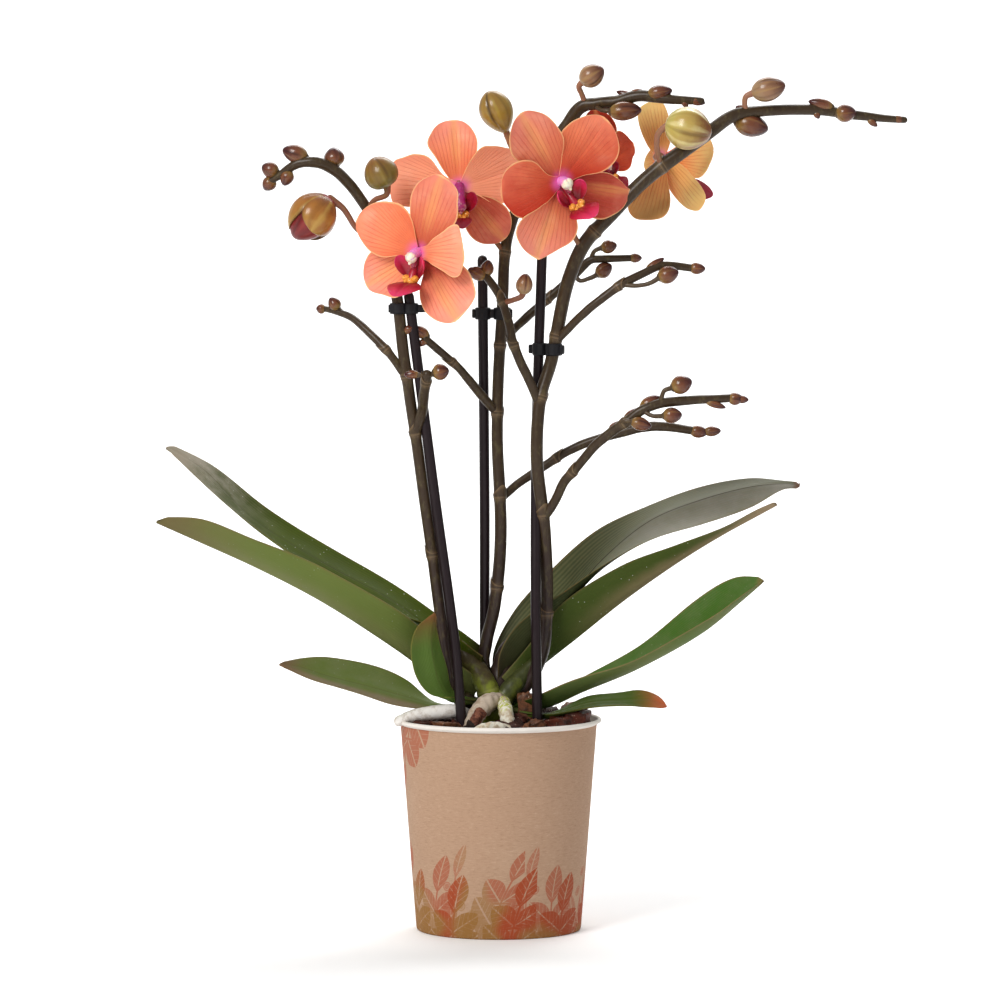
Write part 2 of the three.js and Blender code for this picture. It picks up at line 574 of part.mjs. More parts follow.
// A petal, sepal or lobe from base to tip, its middle bowed and its edges lifted towards its face.
function tepal({ base, tip, facing, width, outline, bow, cup, thickness }, grow) {
  const axis = tip.clone().sub(base);
  const along = axis.clone().normalize();
  const across = along.clone().cross(facing).normalize();
  const face = across.clone().cross(along);
  const down = face.clone().negate();
  const steps = outline.length - 1;
  const sections = outline.map((share, i) => {
    const t = i / steps;
    const half = (share * width) / 2;
    const middle = base.clone()
      .addScaledVector(axis, t)
      .addScaledVector(face, bow * 4 * t * (1 - t))
      .addScaledVector(along, i === 0 ? -grow : i === steps ? grow : 0);
    const upper = PETAL_ACROSS.map((s) => middle.clone()
      .addScaledVector(across, s * (half + grow))
      .addScaledVector(face, cup * half * s * s));
    return bladeRing(upper, PETAL_ACROSS.map((s) => thickness * (1 - 0.4 * s * s)), down, grow);
  });
  return lofted(sections);
}

// The three ways of a flower: out of its face, towards its lip, and to its side.
function flowerWays(flower) {
  const out = vec(flower.facing).normalize();
  const lip = vec(flower.lip);
  lip.addScaledVector(out, -lip.dot(out)).normalize();
  const side = lip.clone().cross(out);
  const hub = vec(flower.hub);
  const at = (o, l, s) => hub.clone()
    .addScaledVector(out, o)
    .addScaledVector(lip, l)
    .addScaledVector(side, s);
  return { out, lip, side, hub, at };
}

function columnShape(flower, grow) {
  const { at } = flowerWays(flower);
  const k = flower.lipScale;
  const route = [at(0.6, -0.2, 0), at(4.5 * k, -0.8, 0), at(8.2 * k, 0.8 * k, 0)].map((p) => p.toArray());
  return rod(route, [2.2 * k, 2.3 * k, 2.7 * k, 2.1 * k], 8, grow);
}

function lipShape(flower, grow) {
  const { at, out, side } = flowerWays(flower);
  const k = flower.lipScale;
  const claw = rod([at(0.8, 2.6, 0), at(3.5 * k, 5 * k, 0), at(5.6 * k, 8 * k, 0)].map((p) => p.toArray()),
    [1.5 * k, 1.7 * k], 6, grow);
  const callus = drop(at(4.6 * k, 7.2 * k, 0).toArray(), at(7.9 * k, 8.6 * k, 0).toArray(), 2.5 * k, 7, grow);
  const midLobe = tepal({
    base: at(5 * k, 7.4 * k, 0),
    tip: at(10.4 * k, 17 * k, 0),
    facing: out,
    width: 11.5 * k,
    outline: OUTLINES.midLobe,
    bow: -1.4 * k,
    cup: 0.12,
    thickness: 0.9,
  }, grow);
  const sideLobes = [-1, 1].map((way) => tepal({
    base: at(3.6 * k, 5.8 * k, way * 0.8),
    tip: at(10.2 * k, 4.2 * k, way * 6.8 * k),
    facing: side.clone().multiplyScalar(-way).addScaledVector(out, 0.35),
    width: 8.4 * k,
    outline: OUTLINES.sideLobe,
    bow: -1.2 * k,
    cup: 0.15,
    thickness: 0.8,
  }, grow));
  return joined([claw, callus, midLobe, ...sideLobes]);
}

// How far the petals stand in front of the hub and the sepals behind it.
const WHORL_STEP = 0.9;

function petalShape(flower, tip, grow) {
  const { at, out, hub } = flowerWays(flower);
  const start = at(WHORL_STEP, 0, 0);
  const away = vec(tip).sub(hub).normalize();
  return tepal({
    base: start.addScaledVector(away, 1.6),
    tip: vec(tip),
    facing: out,
    width: flower.widths[2],
    outline: OUTLINES.petal,
    bow: 1.2,
    cup: 0.06,
    thickness: TEPAL_THICKNESS,
  }, grow);
}

function sepalsShape(flower, grow) {
  const { at, out, hub } = flowerWays(flower);
  const blades = flower.sepals.map((tip, i) => tepal({
    base: at(-WHORL_STEP, 0, 0).addScaledVector(vec(tip).sub(hub).normalize(), 1),
    tip: vec(tip),
    facing: out,
    width: flower.widths[i === 0 ? 0 : 1],
    outline: OUTLINES.sepal,
    bow: 0.8,
    cup: 0.08,
    thickness: TEPAL_THICKNESS,
  }, grow));
  const receptacle = drop(at(-5.2, 0, 0).toArray(), at(1.2, 0, 0).toArray(), 2.7, 7, grow);
  const route = [...flower.stalk.slice(0, -1), at(-3.6, 0, 0).toArray()];
  const stalk = rod(route, [1.2, 1.3, 1.5, 1.8], 6, grow);
  return joined([...blades, receptacle, stalk]);
}

function spikeShape(spike, grow) {
  return joined([
    rod(spike.stem.route, spike.stem.radii, 6, grow),
    ...spike.branches.map(({ route, radii }) => rod(route, radii, 6, grow)),
    ...spike.stalks.map((route) => rod(route, [STALK_RADIUS, STALK_RADIUS], 5, grow)),
    ...spike.buds.map(([base, tip, radius]) => drop(base, tip, radius, 6, grow)),
  ]);
}

function largeBudShape({ bud, stalk }, grow) {
  const [base, tip, radius] = bud;
  return joined([drop(base, tip, radius, 10, grow), rod(stalk, [1.3, 1.3, 1.2], 6, grow)]);
}

// A clip: a collar round the stake, another round the spike, and a bar through both with two tabs.
function clipShape(clip, grow) {
  const collars = [[clip.stake, STAKE_RADIUS], [clip.spike, 2.4]].map(([middle, radius]) => {
    const outer = radius + GAP + CLIP.wall + grow;
    return solidFrom(new THREE.CylinderGeometry(outer, outer, clip.height + 2 * grow, CLIP.sides)
      .rotateX(Math.PI / 2)
      .translate(...middle));
  });
  const [stake, spike] = [vec(clip.stake), vec(clip.spike)];
  const span = spike.clone().sub(stake);
  const length = span.length() + clip.tabs[0] + clip.tabs[1] + 2 * grow;
  const outwards = span.clone().normalize();
  const leftmost = stake.x < spike.x ? stake : spike;
  const way = stake.x < spike.x ? outwards : outwards.clone().negate();
  const middle = leftmost.clone().addScaledVector(way, (span.length() + clip.tabs[1] - clip.tabs[0]) / 2);
  const bar = solidFrom(new THREE.BoxGeometry(length, CLIP.barDepth + 2 * grow, clip.height - 1 + 2 * grow)
    .rotateZ(Math.atan2(way.y, way.x))
    .translate(middle.x, middle.y, middle.z));
  return joined([...collars, bar]);
}

function sleeveShape(grow) {
  const wallAt = (z) => SLEEVE.footRadius + SLEEVE.taper * z;
  const lip = [];
  for (let angle = -110; angle <= 190; angle += 50) {
    const turn = THREE.MathUtils.degToRad(angle);
    lip.push([
      SLEEVE.lipMiddleRadius + SLEEVE.lipRollRadius * Math.cos(turn),
      SLEEVE.lipHeight + SLEEVE.lipRollRadius * Math.sin(turn),
    ]);
  }
  const inside = wallAt(SLEEVE.foldHeight + 1) - SLEEVE.wall - grow;
  const foldInside = SLEEVE.foldInnerRadius - grow;
  return turned([
    [foldInside, 0],
    [wallAt(0) - SLEEVE.cornerRadius, 0],
    [wallAt(0) - 0.3 * SLEEVE.cornerRadius, 0.3 * SLEEVE.cornerRadius],
    [wallAt(SLEEVE.cornerRadius), SLEEVE.cornerRadius],
    [wallAt(95.4), 95.4],
    ...lip,
    [wallAt(95) - SLEEVE.wall - grow, 95],
    [inside, SLEEVE.foldHeight + 1],
    [foldInside, SLEEVE.foldHeight],
    [foldInside, 0],
  ], SLEEVE.segments);
}

function baseShape(grow) {
  const radius = SLEEVE.foldInnerRadius - GAP;
  return turned([[0, 0], [radius, 0], [radius, BASE_THICKNESS + grow], [0, BASE_THICKNESS + grow]],
    SLEEVE.segments);
}

function growPotShape(grow) {
  const floor = BASE_THICKNESS + GAP;
  const top = GROW_POT.rimHeight;
  const flange = top - GROW_POT.flangeThickness;
  return turned([
    [0, floor],
    [GROW_POT.floorRadius, floor],
    [GROW_POT.rimRadius, flange],
    [GROW_POT.flangeRadius, flange],
    [GROW_POT.flangeRadius, top + grow],
    [GROW_POT.rimRadius - GROW_POT.wall - grow, top + grow],
    [GROW_POT.floorRadius - GROW_POT.wall - grow, floor + GROW_POT.floor + grow],
    [0, floor + GROW_POT.floor + grow],
  ], SLEEVE.segments);
}

function barkShape() {
  const floor = BASE_THICKNESS + GROW_POT.floor + 2 * GAP + 0.1;
  const dome = turned([
    [0, floor],
    [GROW_POT.floorRadius - GROW_POT.wall - GAP, floor],
    [GROW_POT.rimRadius - GROW_POT.wall - GAP, GROW_POT.rimHeight - 1],
    [GROW_POT.rimRadius - GROW_POT.wall - GAP, BARK_TOP[0][1]],
    ...BARK_TOP,
  ], SLEEVE.segments);
  const chips = BARK_CHIPS.map(({ at, half }, i) => solidFrom(new THREE.DodecahedronGeometry(1)
    .rotateX(0.7 * i)
    .rotateZ(1.3 * i)
    .scale(...half)
    .translate(...at)));
  return joined([dome, ...chips]);
}

function boxesMeet(a, b) {
  const [boxA, boxB] = [a.boundingBox(), b.boundingBox()];
  return [0, 1, 2].every((k) => boxA.min[k] < boxB.max[k] && boxB.min[k] < boxA.max[k]);
}

function largestBody(solid) {
  return solid.decompose().reduce((best, body) => (body.volume() > best.volume() ? body : best));
}

// Pieces in the order they take their space: each one is cut clear of the ones made before it.
const plant = new THREE.Group();
const made = [];

function addPiece(name, finish, shape) {
  let solid = shape(0);
  for (const { clearance } of made) {
    if (boxesMeet(solid, clearance)) solid = solid.subtract(clearance);
  }
  solid = largestBody(largestBody(solid).simplify(SLIVER));
  const [color, roughness, metalness] = FINISHES[finish];
  const mesh = new THREE.Mesh(geometryFrom(solid), new THREE.MeshStandardMaterial({ color, roughness, metalness }));
  mesh.name = name;
  plant.add(mesh);
  made.push({ clearance: shape(GAP) });
}

addPiece("pot_sleeve", "card", sleeveShape);
addPiece("pot_base", "cardInside", baseShape);
addPiece("grow_pot", "clearPlastic", growPotShape);
for (const [name, route] of Object.entries(STAKES)) {
  addPiece(name, "stake", (grow) => rod(route, [STAKE_RADIUS, STAKE_RADIUS], 8, grow));
}
addPiece("crown", "crown", (grow) => rod(CROWN.route, CROWN.radii, 10, grow));
for (const [name, spike] of Object.entries(SPIKES)) {
  addPiece(name, "stem", (grow) => spikeShape(spike, grow));
}
for (const [name, clip] of Object.entries(CLIPS)) {
  addPiece(name, "clip", (grow) => clipShape(clip, grow));
}
for (const [name, rails] of Object.entries(LEAVES)) {
  addPiece(name, "leaf", (grow) => leaf(rails, grow));
}
for (const [name, root] of Object.entries(ROOTS)) {
  addPiece(name, "root", (grow) => rod(root.route, root.radii, 7, grow));
}
addPiece("bark_medium", "bark", barkShape);
for (const [name, flower] of Object.entries(FLOWERS)) {
  addPiece(`${name}_column`, "column", (grow) => columnShape(flower, grow));
  addPiece(`${name}_lip`, "lip", (grow) => lipShape(flower, grow));
  addPiece(`${name}_petal_left`, "petal", (grow) => petalShape(flower, flower.petals[0], grow));
  addPiece(`${name}_petal_right`, "petal", (grow) => petalShape(flower, flower.petals[1], grow));
  addPiece(`${name}_sepals`, "petal", (grow) => sepalsShape(flower, grow));
}
for (const [name, bud] of Object.entries(LARGE_BUDS)) {
  addPiece(name, "bud", (grow) => largeBudShape(bud, grow));
}

export default plant;
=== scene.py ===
"""Dresses a potted moth orchid: petals, buds, stems, leaves, roots, bark and card sleeve.

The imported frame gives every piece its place. Routes and outlines are in millimetres, as they are
drawn, and every mesh is made in metres. +Z is up, and the flowers face -Y.
"""

import logging
import math
from dataclasses import dataclass, field
from enum import Enum
from functools import cache, partialmethod

import bpy
import numpy as np
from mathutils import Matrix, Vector


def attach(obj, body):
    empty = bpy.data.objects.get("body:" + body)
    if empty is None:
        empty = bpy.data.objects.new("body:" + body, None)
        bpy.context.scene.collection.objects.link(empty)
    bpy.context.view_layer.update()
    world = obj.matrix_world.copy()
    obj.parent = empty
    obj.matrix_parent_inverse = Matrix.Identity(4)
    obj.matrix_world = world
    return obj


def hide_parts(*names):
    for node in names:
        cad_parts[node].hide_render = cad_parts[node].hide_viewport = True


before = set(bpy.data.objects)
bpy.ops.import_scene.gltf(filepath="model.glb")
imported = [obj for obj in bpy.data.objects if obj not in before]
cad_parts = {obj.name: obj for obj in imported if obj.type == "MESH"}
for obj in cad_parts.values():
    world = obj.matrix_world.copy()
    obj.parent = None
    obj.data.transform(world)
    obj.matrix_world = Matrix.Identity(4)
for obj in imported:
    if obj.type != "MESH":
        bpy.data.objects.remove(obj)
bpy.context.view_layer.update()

LOG = logging.getLogger("orchid")
MM = 0.001
BODY = "root"
TINY = 1e-12
NEAR_AXIS = 0.01
SOFT_DEPTH = 0.002
STAKE_RADIUS = 2.35
Array = np.ndarray
Socket = bpy.types.NodeSocket
Thing = bpy.types.Object
Colour = str
Point = tuple[float, float, float]
Points = tuple[Point, ...]


def scene_colour(code: Colour) -> tuple[float, ...]:
    """Returns the scene colour of a display colour such as #ff9060."""
    levels = (int(code[k:k + 2], 16) / 255 for k in (1, 3, 5))
    return (*(v / 12.92 if v <= 0.04045 else ((v + 0.055) / 1.055) ** 2.4 for v in levels), 1)


def unit(vector: Array) -> Array:
    """Returns a vector, or each row of an array of them, with length one."""
    return vector / np.maximum(np.linalg.norm(vector, axis=-1, keepdims=True), TINY)


def circle(count: int) -> Array:
    """Returns angles that stand evenly round a circle."""
    return np.linspace(0, 2 * math.pi, count, endpoint=False)


def swing(across: Array, square: Array, angle: Array) -> Array:
    """Returns the way at each angle between two ways that are square to each other."""
    return across * np.cos(angle)[..., None] + square * np.sin(angle)[..., None]


def rotated(first: Array, second: Array, angle: float) -> tuple[Array, Array]:
    """Returns two ways, or two coordinates, turned in their plane by an angle in radians."""
    cos, sin = math.cos(angle), math.sin(angle)
    return first * cos - second * sin, first * sin + second * cos


def blend_step(low: float, high: float, value: Array) -> Array:
    """Returns a smooth step from 0 at low to 1 at high."""
    t = np.clip((value - low) / (high - low), 0, 1)
    return t * t * (3 - 2 * t)


def walked(path: Array) -> Array:
    """Returns how far along a path each of its places is."""
    return np.concatenate([[0], np.cumsum(np.linalg.norm(np.diff(path, axis=0), axis=1))])


def through(place: Array, knots: Array, heights: Array) -> Array:
    """Returns a smooth curve through a few heights.

    Args:
        place: Where the curve is wanted.
        knots: Where the heights stand, in rising order.
        heights: The heights.

    Returns:
        The curve's height at each place.
    """
    slopes = np.gradient(heights, knots)
    low = np.clip(np.searchsorted(knots, place, side="right") - 1, 0, len(knots) - 2)
    gap = knots[low + 1] - knots[low]
    t = (place - knots[low]) / gap
    return (heights[low] * (1 + 2 * t) * (1 - t) ** 2 + slopes[low] * gap * t * (1 - t) ** 2
            + heights[low + 1] * t * t * (3 - 2 * t) - slopes[low + 1] * gap * t * t * (1 - t))


# Shapes


@dataclass(frozen=True)
class Route:
    """A smooth path through a few points, in millimetres."""

    points: Points

    def at(self, share: Array) -> Array:
        """Finds places along the path.

        Args:
            share: Shares of the path, from 0 to 1, with the points evenly spread.

        Returns:
            The places, in metres, one row each.
        """
        knots = np.array(self.points, float) * MM
        knots = np.vstack([2 * knots[0] - knots[1], knots, 2 * knots[-1] - knots[-2]])
        spot = np.clip(share, 0, 1) * (len(self.points) - 1)
        low = np.minimum(spot.astype(int), len(self.points) - 2)
        t = (spot - low)[:, None]
        p0, p1, p2, p3 = (knots[low + k] for k in range(4))
        d0, d1, d2 = (np.sqrt(np.linalg.norm(b - a, axis=1, keepdims=True) + TINY)
                      for a, b in ((p0, p1), (p1, p2), (p2, p3)))
        start = ((p1 - p0) / d0 - (p2 - p0) / (d0 + d1) + (p2 - p1) / d1) * d1
        end = ((p2 - p1) / d1 - (p3 - p1) / (d1 + d2) + (p3 - p2) / d2) * d1
        return (p1 + start * t + (3 * (p2 - p1) - 2 * start - end) * t ** 2
                + (2 * (p1 - p2) + start + end) * t ** 3)

    def even(self, spacing: float) -> tuple[Array, Array]:
        """Finds places at even distances.

        Args:
            spacing: The distance between two places, in millimetres.

        Returns:
            The places, in metres, and their shares of the path.
        """
        fine = np.linspace(0, 1, 30 * len(self.points))
        length = walked(self.at(fine))
        count = max(4, int(length[-1] / (spacing * MM)) + 1)
        share = np.interp(np.linspace(0, length[-1], count), length, fine)
        return self.at(share), share

    def share_at_height(self, height: float) -> float:
        """Returns the share of a rising path at which it reaches a height in millimetres."""
        fine = np.linspace(0, 1, 400)
        return float(fine[np.argmin(np.abs(self.at(fine)[:, 2] - height * MM))])


@dataclass
class Skin:
    """One closed surface with the shading values of its points."""

    points: Array
    faces: list[list[int]]
    values: dict[str, Array]
    finish: "Finish"


def quads_of(rows: int, columns: int, closed: bool = False) -> Array:
    """Lists the faces between rings of points.

    Args:
        rows: How many rings there are.
        columns: How many points each has.
        closed: Whether the last ring joins the first.

    Returns:
        The four point numbers of each face.
    """
    row, column = np.meshgrid(np.arange(rows - (not closed)), np.arange(columns), indexing="ij")
    here, below, after = row * columns, (row + 1) % rows * columns, (column + 1) % columns
    return np.stack([here + column, here + after, below + after, below + column], -1).reshape(-1, 4)


def loft(rings: Array, values: dict[str, Array | float], finish: "Finish") -> Skin:
    """Skins rings of points and closes both ends.

    Args:
        rings: The points, as rows of rings.
        values: Shading values by name, for each point of each ring, or spread over them.
        finish: What the surface is made of.

    Returns:
        The closed skin, with its faces pointing outwards.
    """
    rows, columns, _ = rings.shape
    points = np.vstack([rings.reshape(-1, 3), rings[0].mean(0), rings[-1].mean(0)])
    quads = quads_of(rows, columns)
    near, far = np.arange(columns), np.arange(columns) + (rows - 1) * columns
    first_cap = np.stack([np.roll(near, -1), near, np.full(columns, rows * columns)], -1)
    last_cap = np.stack([far, np.roll(far, -1), np.full(columns, rows * columns + 1)], -1)
    halves = np.vstack([quads[:, :3], quads[:, [0, 2, 3]], first_cap, last_cap])
    a, b, c = (points[halves[:, k]] for k in range(3))
    faces = [face for part in (quads, first_cap, last_cap) for face in part.tolist()]
    if np.einsum("ij,ij->", a - points[0], np.cross(b - points[0], c - points[0])) < 0:
        faces = [face[::-1] for face in faces]
    kept = {}
    for name, value in values.items():
        grid = np.broadcast_to(value, (rows, columns))
        kept[name] = np.concatenate([grid.ravel(), [grid[0].mean(), grid[-1].mean()]])
    return Skin(points, faces, kept, finish)


def ways_along(path: Array, hint: Point = (0, -1, 0)) -> tuple[Array, ...]:
    """Finds the ways along and across a path, without any twist.

    Args:
        path: The places on the path.
        hint: The way across that the first place starts from.

    Returns:
        The ways along, the ways across, and the ways square to both.
    """
    along = unit(np.gradient(path, axis=0))
    across = np.empty_like(path)
    way = np.array(hint)
    for i, ahead in enumerate(along):
        way = unit(way - ahead * way.dot(ahead))
        across[i] = way
    return along, across, np.cross(along, across)


def tube(route: Route, radii: tuple[float, ...], finish: "Finish", sides: int = 14, spacing: float = 1,
         swells: tuple[tuple[float, float, float], ...] = (), rough: float = 0.02, tone: float = 0) -> Skin:
    """Makes a stem with domed ends along a route.

    Args:
        route: Where the stem runs.
        radii: Its radius at even steps, in millimetres.
        finish: What it is made of.
        sides: How many points go round it.
        spacing: How far its rings are apart, in millimetres.
        swells: Nodes on it: the share of the route, the half length and the height, in millimetres.
        rough: How uneven its surface is, as a share of the radius.
        tone: A value that the finish may read.

    Returns:
        The stem's skin.
    """
    path, share = route.even(spacing)
    along, across, square = ways_along(path)
    radius = np.interp(share, np.linspace(0, 1, len(radii)), radii)
    distance = walked(path) / MM
    ring = np.zeros_like(share)
    for place, half, height in swells:
        bump = np.exp(-((distance - np.interp(place, share, distance)) / half) ** 2)
        radius = radius + height * bump
        ring = np.maximum(ring, bump)
    dome = np.radians([80, 55, 30])
    out, shrink = np.sin(dome)[:, None], np.cos(dome)
    first, last = along[0] * radius[0] * MM * out, along[-1] * radius[-1] * MM * out
    path = np.vstack([path[0] - first, path, (path[-1] + last)[::-1]])
    radius = np.concatenate([radius[0] * shrink, radius, (radius[-1] * shrink)[::-1]])
    across, square, share, ring = (np.concatenate([value[[0] * 3], value, value[[-1] * 3]])
                                   for value in (across, square, share, ring))
    angle = circle(sides)[None]
    wave = 1 + rough * (np.sin(3 * angle + 9 * share[:, None] * len(radii))
                        + 0.6 * np.sin(2 * angle - 31 * share[:, None]))
    reach = (radius[:, None] * wave * MM)[..., None]
    rings = path[:, None] + reach * swing(across[:, None], square[:, None], angle)
    return loft(rings, {"along": share[:, None], "ring": ring[:, None], "tone": tone}, finish)


def turned(profile: Array, finish: "Finish", segments: int = 160) -> Skin:
    """Turns a closed profile round the upright axis.

    Args:
        profile: Radius and height of each point, in millimetres, going once round the section, and
            if it has a third column, the zone that the finish reads.
        finish: What it is made of.
        segments: How many steps go round.

    Returns:
        The turned skin, closed all round.
    """
    angle = circle(segments) + math.pi / 2
    radius, height = profile[:, 0, None] * MM, profile[:, 1, None] * MM
    points = np.stack([radius * np.cos(angle), radius * np.sin(angle), height + 0 * angle], -1).reshape(-1, 3)
    quads = quads_of(len(profile), segments, closed=True)
    a, b, c = (points[quads[:, k]] for k in range(3))
    if np.einsum("ij,ij->", a, np.cross(b, c)) < 0:
        quads = quads[:, ::-1]
    zone = profile[:, 2] if profile.shape[1] > 2 else np.zeros(len(profile))
    return Skin(points, quads.tolist(), {"zone": np.repeat(zone, segments)}, finish)


def blade(upper: Array, facing: Array, depth: Array, values: dict[str, Array | float],
          finish: "Finish") -> Skin:
    """Gives a thin sheet its thickness.

    Args:
        upper: Points of its face, as rows from base to tip and columns across.
        facing: Roughly the way that the face looks.
        depth: How thick it is at each point, in millimetres.
        values: Shading values by name, for each point of the face, or spread over it.
        finish: What it is made of.

    Returns:
        The closed sheet, with a value front that is 1 on its face and 0 on its back.
    """
    normal = unit(np.cross(np.gradient(upper, axis=0), np.gradient(upper, axis=1)))
    if (normal.reshape(-1, 3).mean(0) * facing).sum() < 0:
        normal = -normal
    lower = upper - normal * (depth * MM)[..., None]
    both = {name: np.broadcast_to(value, depth.shape) for name, value in values.items()}
    both = {name: np.concatenate([value, value[:, ::-1]], 1) for name, value in both.items()}
    both["front"] = np.repeat([1, 0], depth.shape[1])[None]
    return loft(np.concatenate([upper, lower[:, ::-1]], 1), both, finish)


def lump(base: Point, tip: Point, radius: float, finish: "Finish", blunt: float = 1, seams: float = 0,
         turn: float = 0, rows: int = 22, sides: int = 30, tone: float = 0, widest: float = 0.46,
         ribs: float = 0) -> Skin:
    """Makes a bud or a knob from base to tip.

    Args:
        base: Where it starts, in millimetres.
        tip: Where it ends, in millimetres.
        radius: Its largest radius, in millimetres.
        finish: What it is made of.
        blunt: How round the tip is: 1 is egg-shaped, less is more pointed.
        seams: How deep its three seams are, as a share of the radius.
        turn: Where the first seam stands, in degrees.
        rows: How many rings it has.
        sides: How many points go round it.
        tone: A value that the finish may read.
        widest: Where it is widest, as a share of its length.
        ribs: How high its lengthwise ribs are, as a share of the radius.

    Returns:
        The skin, with a value seam that is 1 in a seam and a value stripe that changes round it.
    """
    start, end = np.array(base) * MM, np.array(tip) * MM
    _, across, square = (way[0] for way in ways_along(np.array([start, end])))
    t = ((1 - np.cos(np.linspace(0.12, math.pi - 0.1, rows))) / 2)[:, None]
    size = np.sin(math.pi * t ** (math.log(0.5) / math.log(widest))) ** 0.54
    size *= 1 - (1 - blunt) * t ** 1.5
    angle = circle(sides)[None]
    groove = np.exp(-(np.sin(1.5 * (angle - math.radians(turn))) / 0.16) ** 2)
    stripe = (0.5 + 0.25 * np.sin(7 * angle + turn) + 0.15 * np.sin(13 * angle + 2.1)
              + 0.1 * np.sin(19 * angle))
    lobes = 1 - seams * groove * blend_step(0.05, 0.35, t) + ribs * np.cos(14 * angle) * np.sin(math.pi * t)
    rings = (start + (end - start) * t)[:, None] + (radius * MM * size * lobes)[..., None] * swing(
        across, square, angle)
    return loft(rings, {"along": t, "seam": groove, "stripe": stripe, "tone": tone}, finish)


def in_scene(name: str, data: bpy.types.ID) -> Thing:
    """Puts a new object in the scene.

    Args:
        name: Its name.
        data: Its mesh, lamp or camera.

    Returns:
        The object.
    """
    thing = bpy.data.objects.new(name, data)
    bpy.context.scene.collection.objects.link(thing)
    return thing


def hand_over(thing: Thing, slot: str, *nodes: str) -> None:
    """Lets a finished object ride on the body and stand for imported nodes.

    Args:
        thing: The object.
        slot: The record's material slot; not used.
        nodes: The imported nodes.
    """
    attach(thing, BODY)
    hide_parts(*nodes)
    LOG.info("made %s with %d faces", thing.name, len(thing.data.polygons))


class Piece:
    """A named object that is put together from skins."""

    def __init__(self, name: str, *skins: Skin) -> None:
        """Starts a piece with a name and its first skins."""
        self.name = name
        self.skins = list(skins)

    def add(self, *skins: Skin) -> None:
        """Adds skins to the piece."""
        self.skins.extend(skins)

    def build(self, slot: str, node: str, keen: float = 50) -> None:
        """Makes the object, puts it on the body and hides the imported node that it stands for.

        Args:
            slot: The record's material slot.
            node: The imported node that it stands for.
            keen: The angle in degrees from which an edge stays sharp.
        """
        hand_over(in_scene(self.name, self.mesh(keen)), slot, node)

    def mesh(self, keen: float = 50) -> bpy.types.Mesh:
        """Joins the skins.

        Args:
            keen: The angle in degrees from which an edge stays sharp.

        Returns:
            The mesh, with its materials and its shading values.
        """
        mesh = bpy.data.meshes.new(self.name)
        shifts = np.cumsum([0] + [len(skin.points) for skin in self.skins])
        faces = [[k + int(shift) for k in face] for skin, shift in zip(self.skins, shifts)
                 for face in skin.faces]
        mesh.from_pydata(np.vstack([skin.points for skin in self.skins]).tolist(), [], faces)
        finishes = list(dict.fromkeys(skin.finish for skin in self.skins))
        for finish in finishes:
            mesh.materials.append(material_of(finish))
        slots = np.concatenate([np.full(len(skin.faces), finishes.index(skin.finish), np.int32)
                                for skin in self.skins])
        mesh.polygons.foreach_set("material_index", slots)
        for name in sorted({name for skin in self.skins for name in skin.values}):
            values = np.concatenate([skin.values.get(name, np.zeros(len(skin.points)))
                                     for skin in self.skins])
            mesh.attributes.new(name, "FLOAT", "POINT").data.foreach_set("value", values.astype(np.float32))
        mesh.shade_smooth()
        mesh.set_sharp_from_angle(angle=math.radians(keen))
        mesh.update()
        return mesh


# Materials


class Value:
    """A number that runs through a material."""

    def __init__(self, graph: "Graph", socket: Socket) -> None:
        """Wraps a socket of a graph."""
        self.graph = graph
        self.socket = socket

    def _with(self, operation: str, *others: "Value | float") -> "Value":
        """Returns a Math node of this value and others."""
        return self.graph.math(operation, self, *others)

    __add__ = __radd__ = partialmethod(_with, "ADD")
    __sub__ = partialmethod(_with, "SUBTRACT")
    __mul__ = __rmul__ = partialmethod(_with, "MULTIPLY")
    __truediv__ = partialmethod(_with, "DIVIDE")
    __pow__ = partialmethod(_with, "POWER")
    __abs__ = partialmethod(_with, "ABSOLUTE")
    fract = partialmethod(_with, "FRACT")
    floor = partialmethod(_with, "FLOOR")
    top = partialmethod(_with, "MAXIMUM")

    def __rsub__(self, other: float) -> "Value":
        """Returns the difference the other way round."""
        return self.graph.math("SUBTRACT", other, self)

    def step(self, low: float, high: float) -> "Value":
        """Makes a smooth step.

        Args:
            low: Where it is 0.
            high: Where it is 1.

        Returns:
            The step of this value.
        """
        made = self.graph.node("ShaderNodeMapRange", {"interpolation_type": "SMOOTHSTEP"}, {
            "Value": self, "From Min": low, "From Max": high, "To Min": 0, "To Max": 1})
        return Value(self.graph, made.outputs["Result"])


Link = "Value | Socket | float | Colour"


class Nodes:
    """The nodes of one tree."""

    def __init__(self, tree: bpy.types.NodeTree) -> None:
        """Wraps a tree."""
        self.tree = tree

    def feed(self, target: Socket, source: Link) -> None:
        """Links an input to a source, or gives it a value of its own.

        Args:
            target: The input.
            source: What it is linked to, its value, or its colour's code.
        """
        source = source.socket if isinstance(source, Value) else source
        if isinstance(source, Socket):
            self.tree.links.new(source, target)
        else:
            coded = isinstance(source, str) and source.startswith("#")
            target.default_value = scene_colour(source) if coded else source

    def node(self, kind: str, settings: dict | None = None, sockets: dict | None = None) -> bpy.types.Node:
        """Adds a node.

        Args:
            kind: The node's type.
            settings: Its own settings, which are set first.
            sockets: Values or links of its inputs, by name or number.

        Returns:
            The new node.
        """
        made = self.tree.nodes.new(kind)
        for name, setting in (settings or {}).items():
            setattr(made, name, setting)
        for name, source in (sockets or {}).items():
            self.feed(made.inputs[name], source)
        return made

    def first(self, kind: str, settings: dict | None = None,
              sockets: dict | None = None) -> Socket:
        """Adds a node and returns its first output."""
        return self.node(kind, settings, sockets).outputs[0]


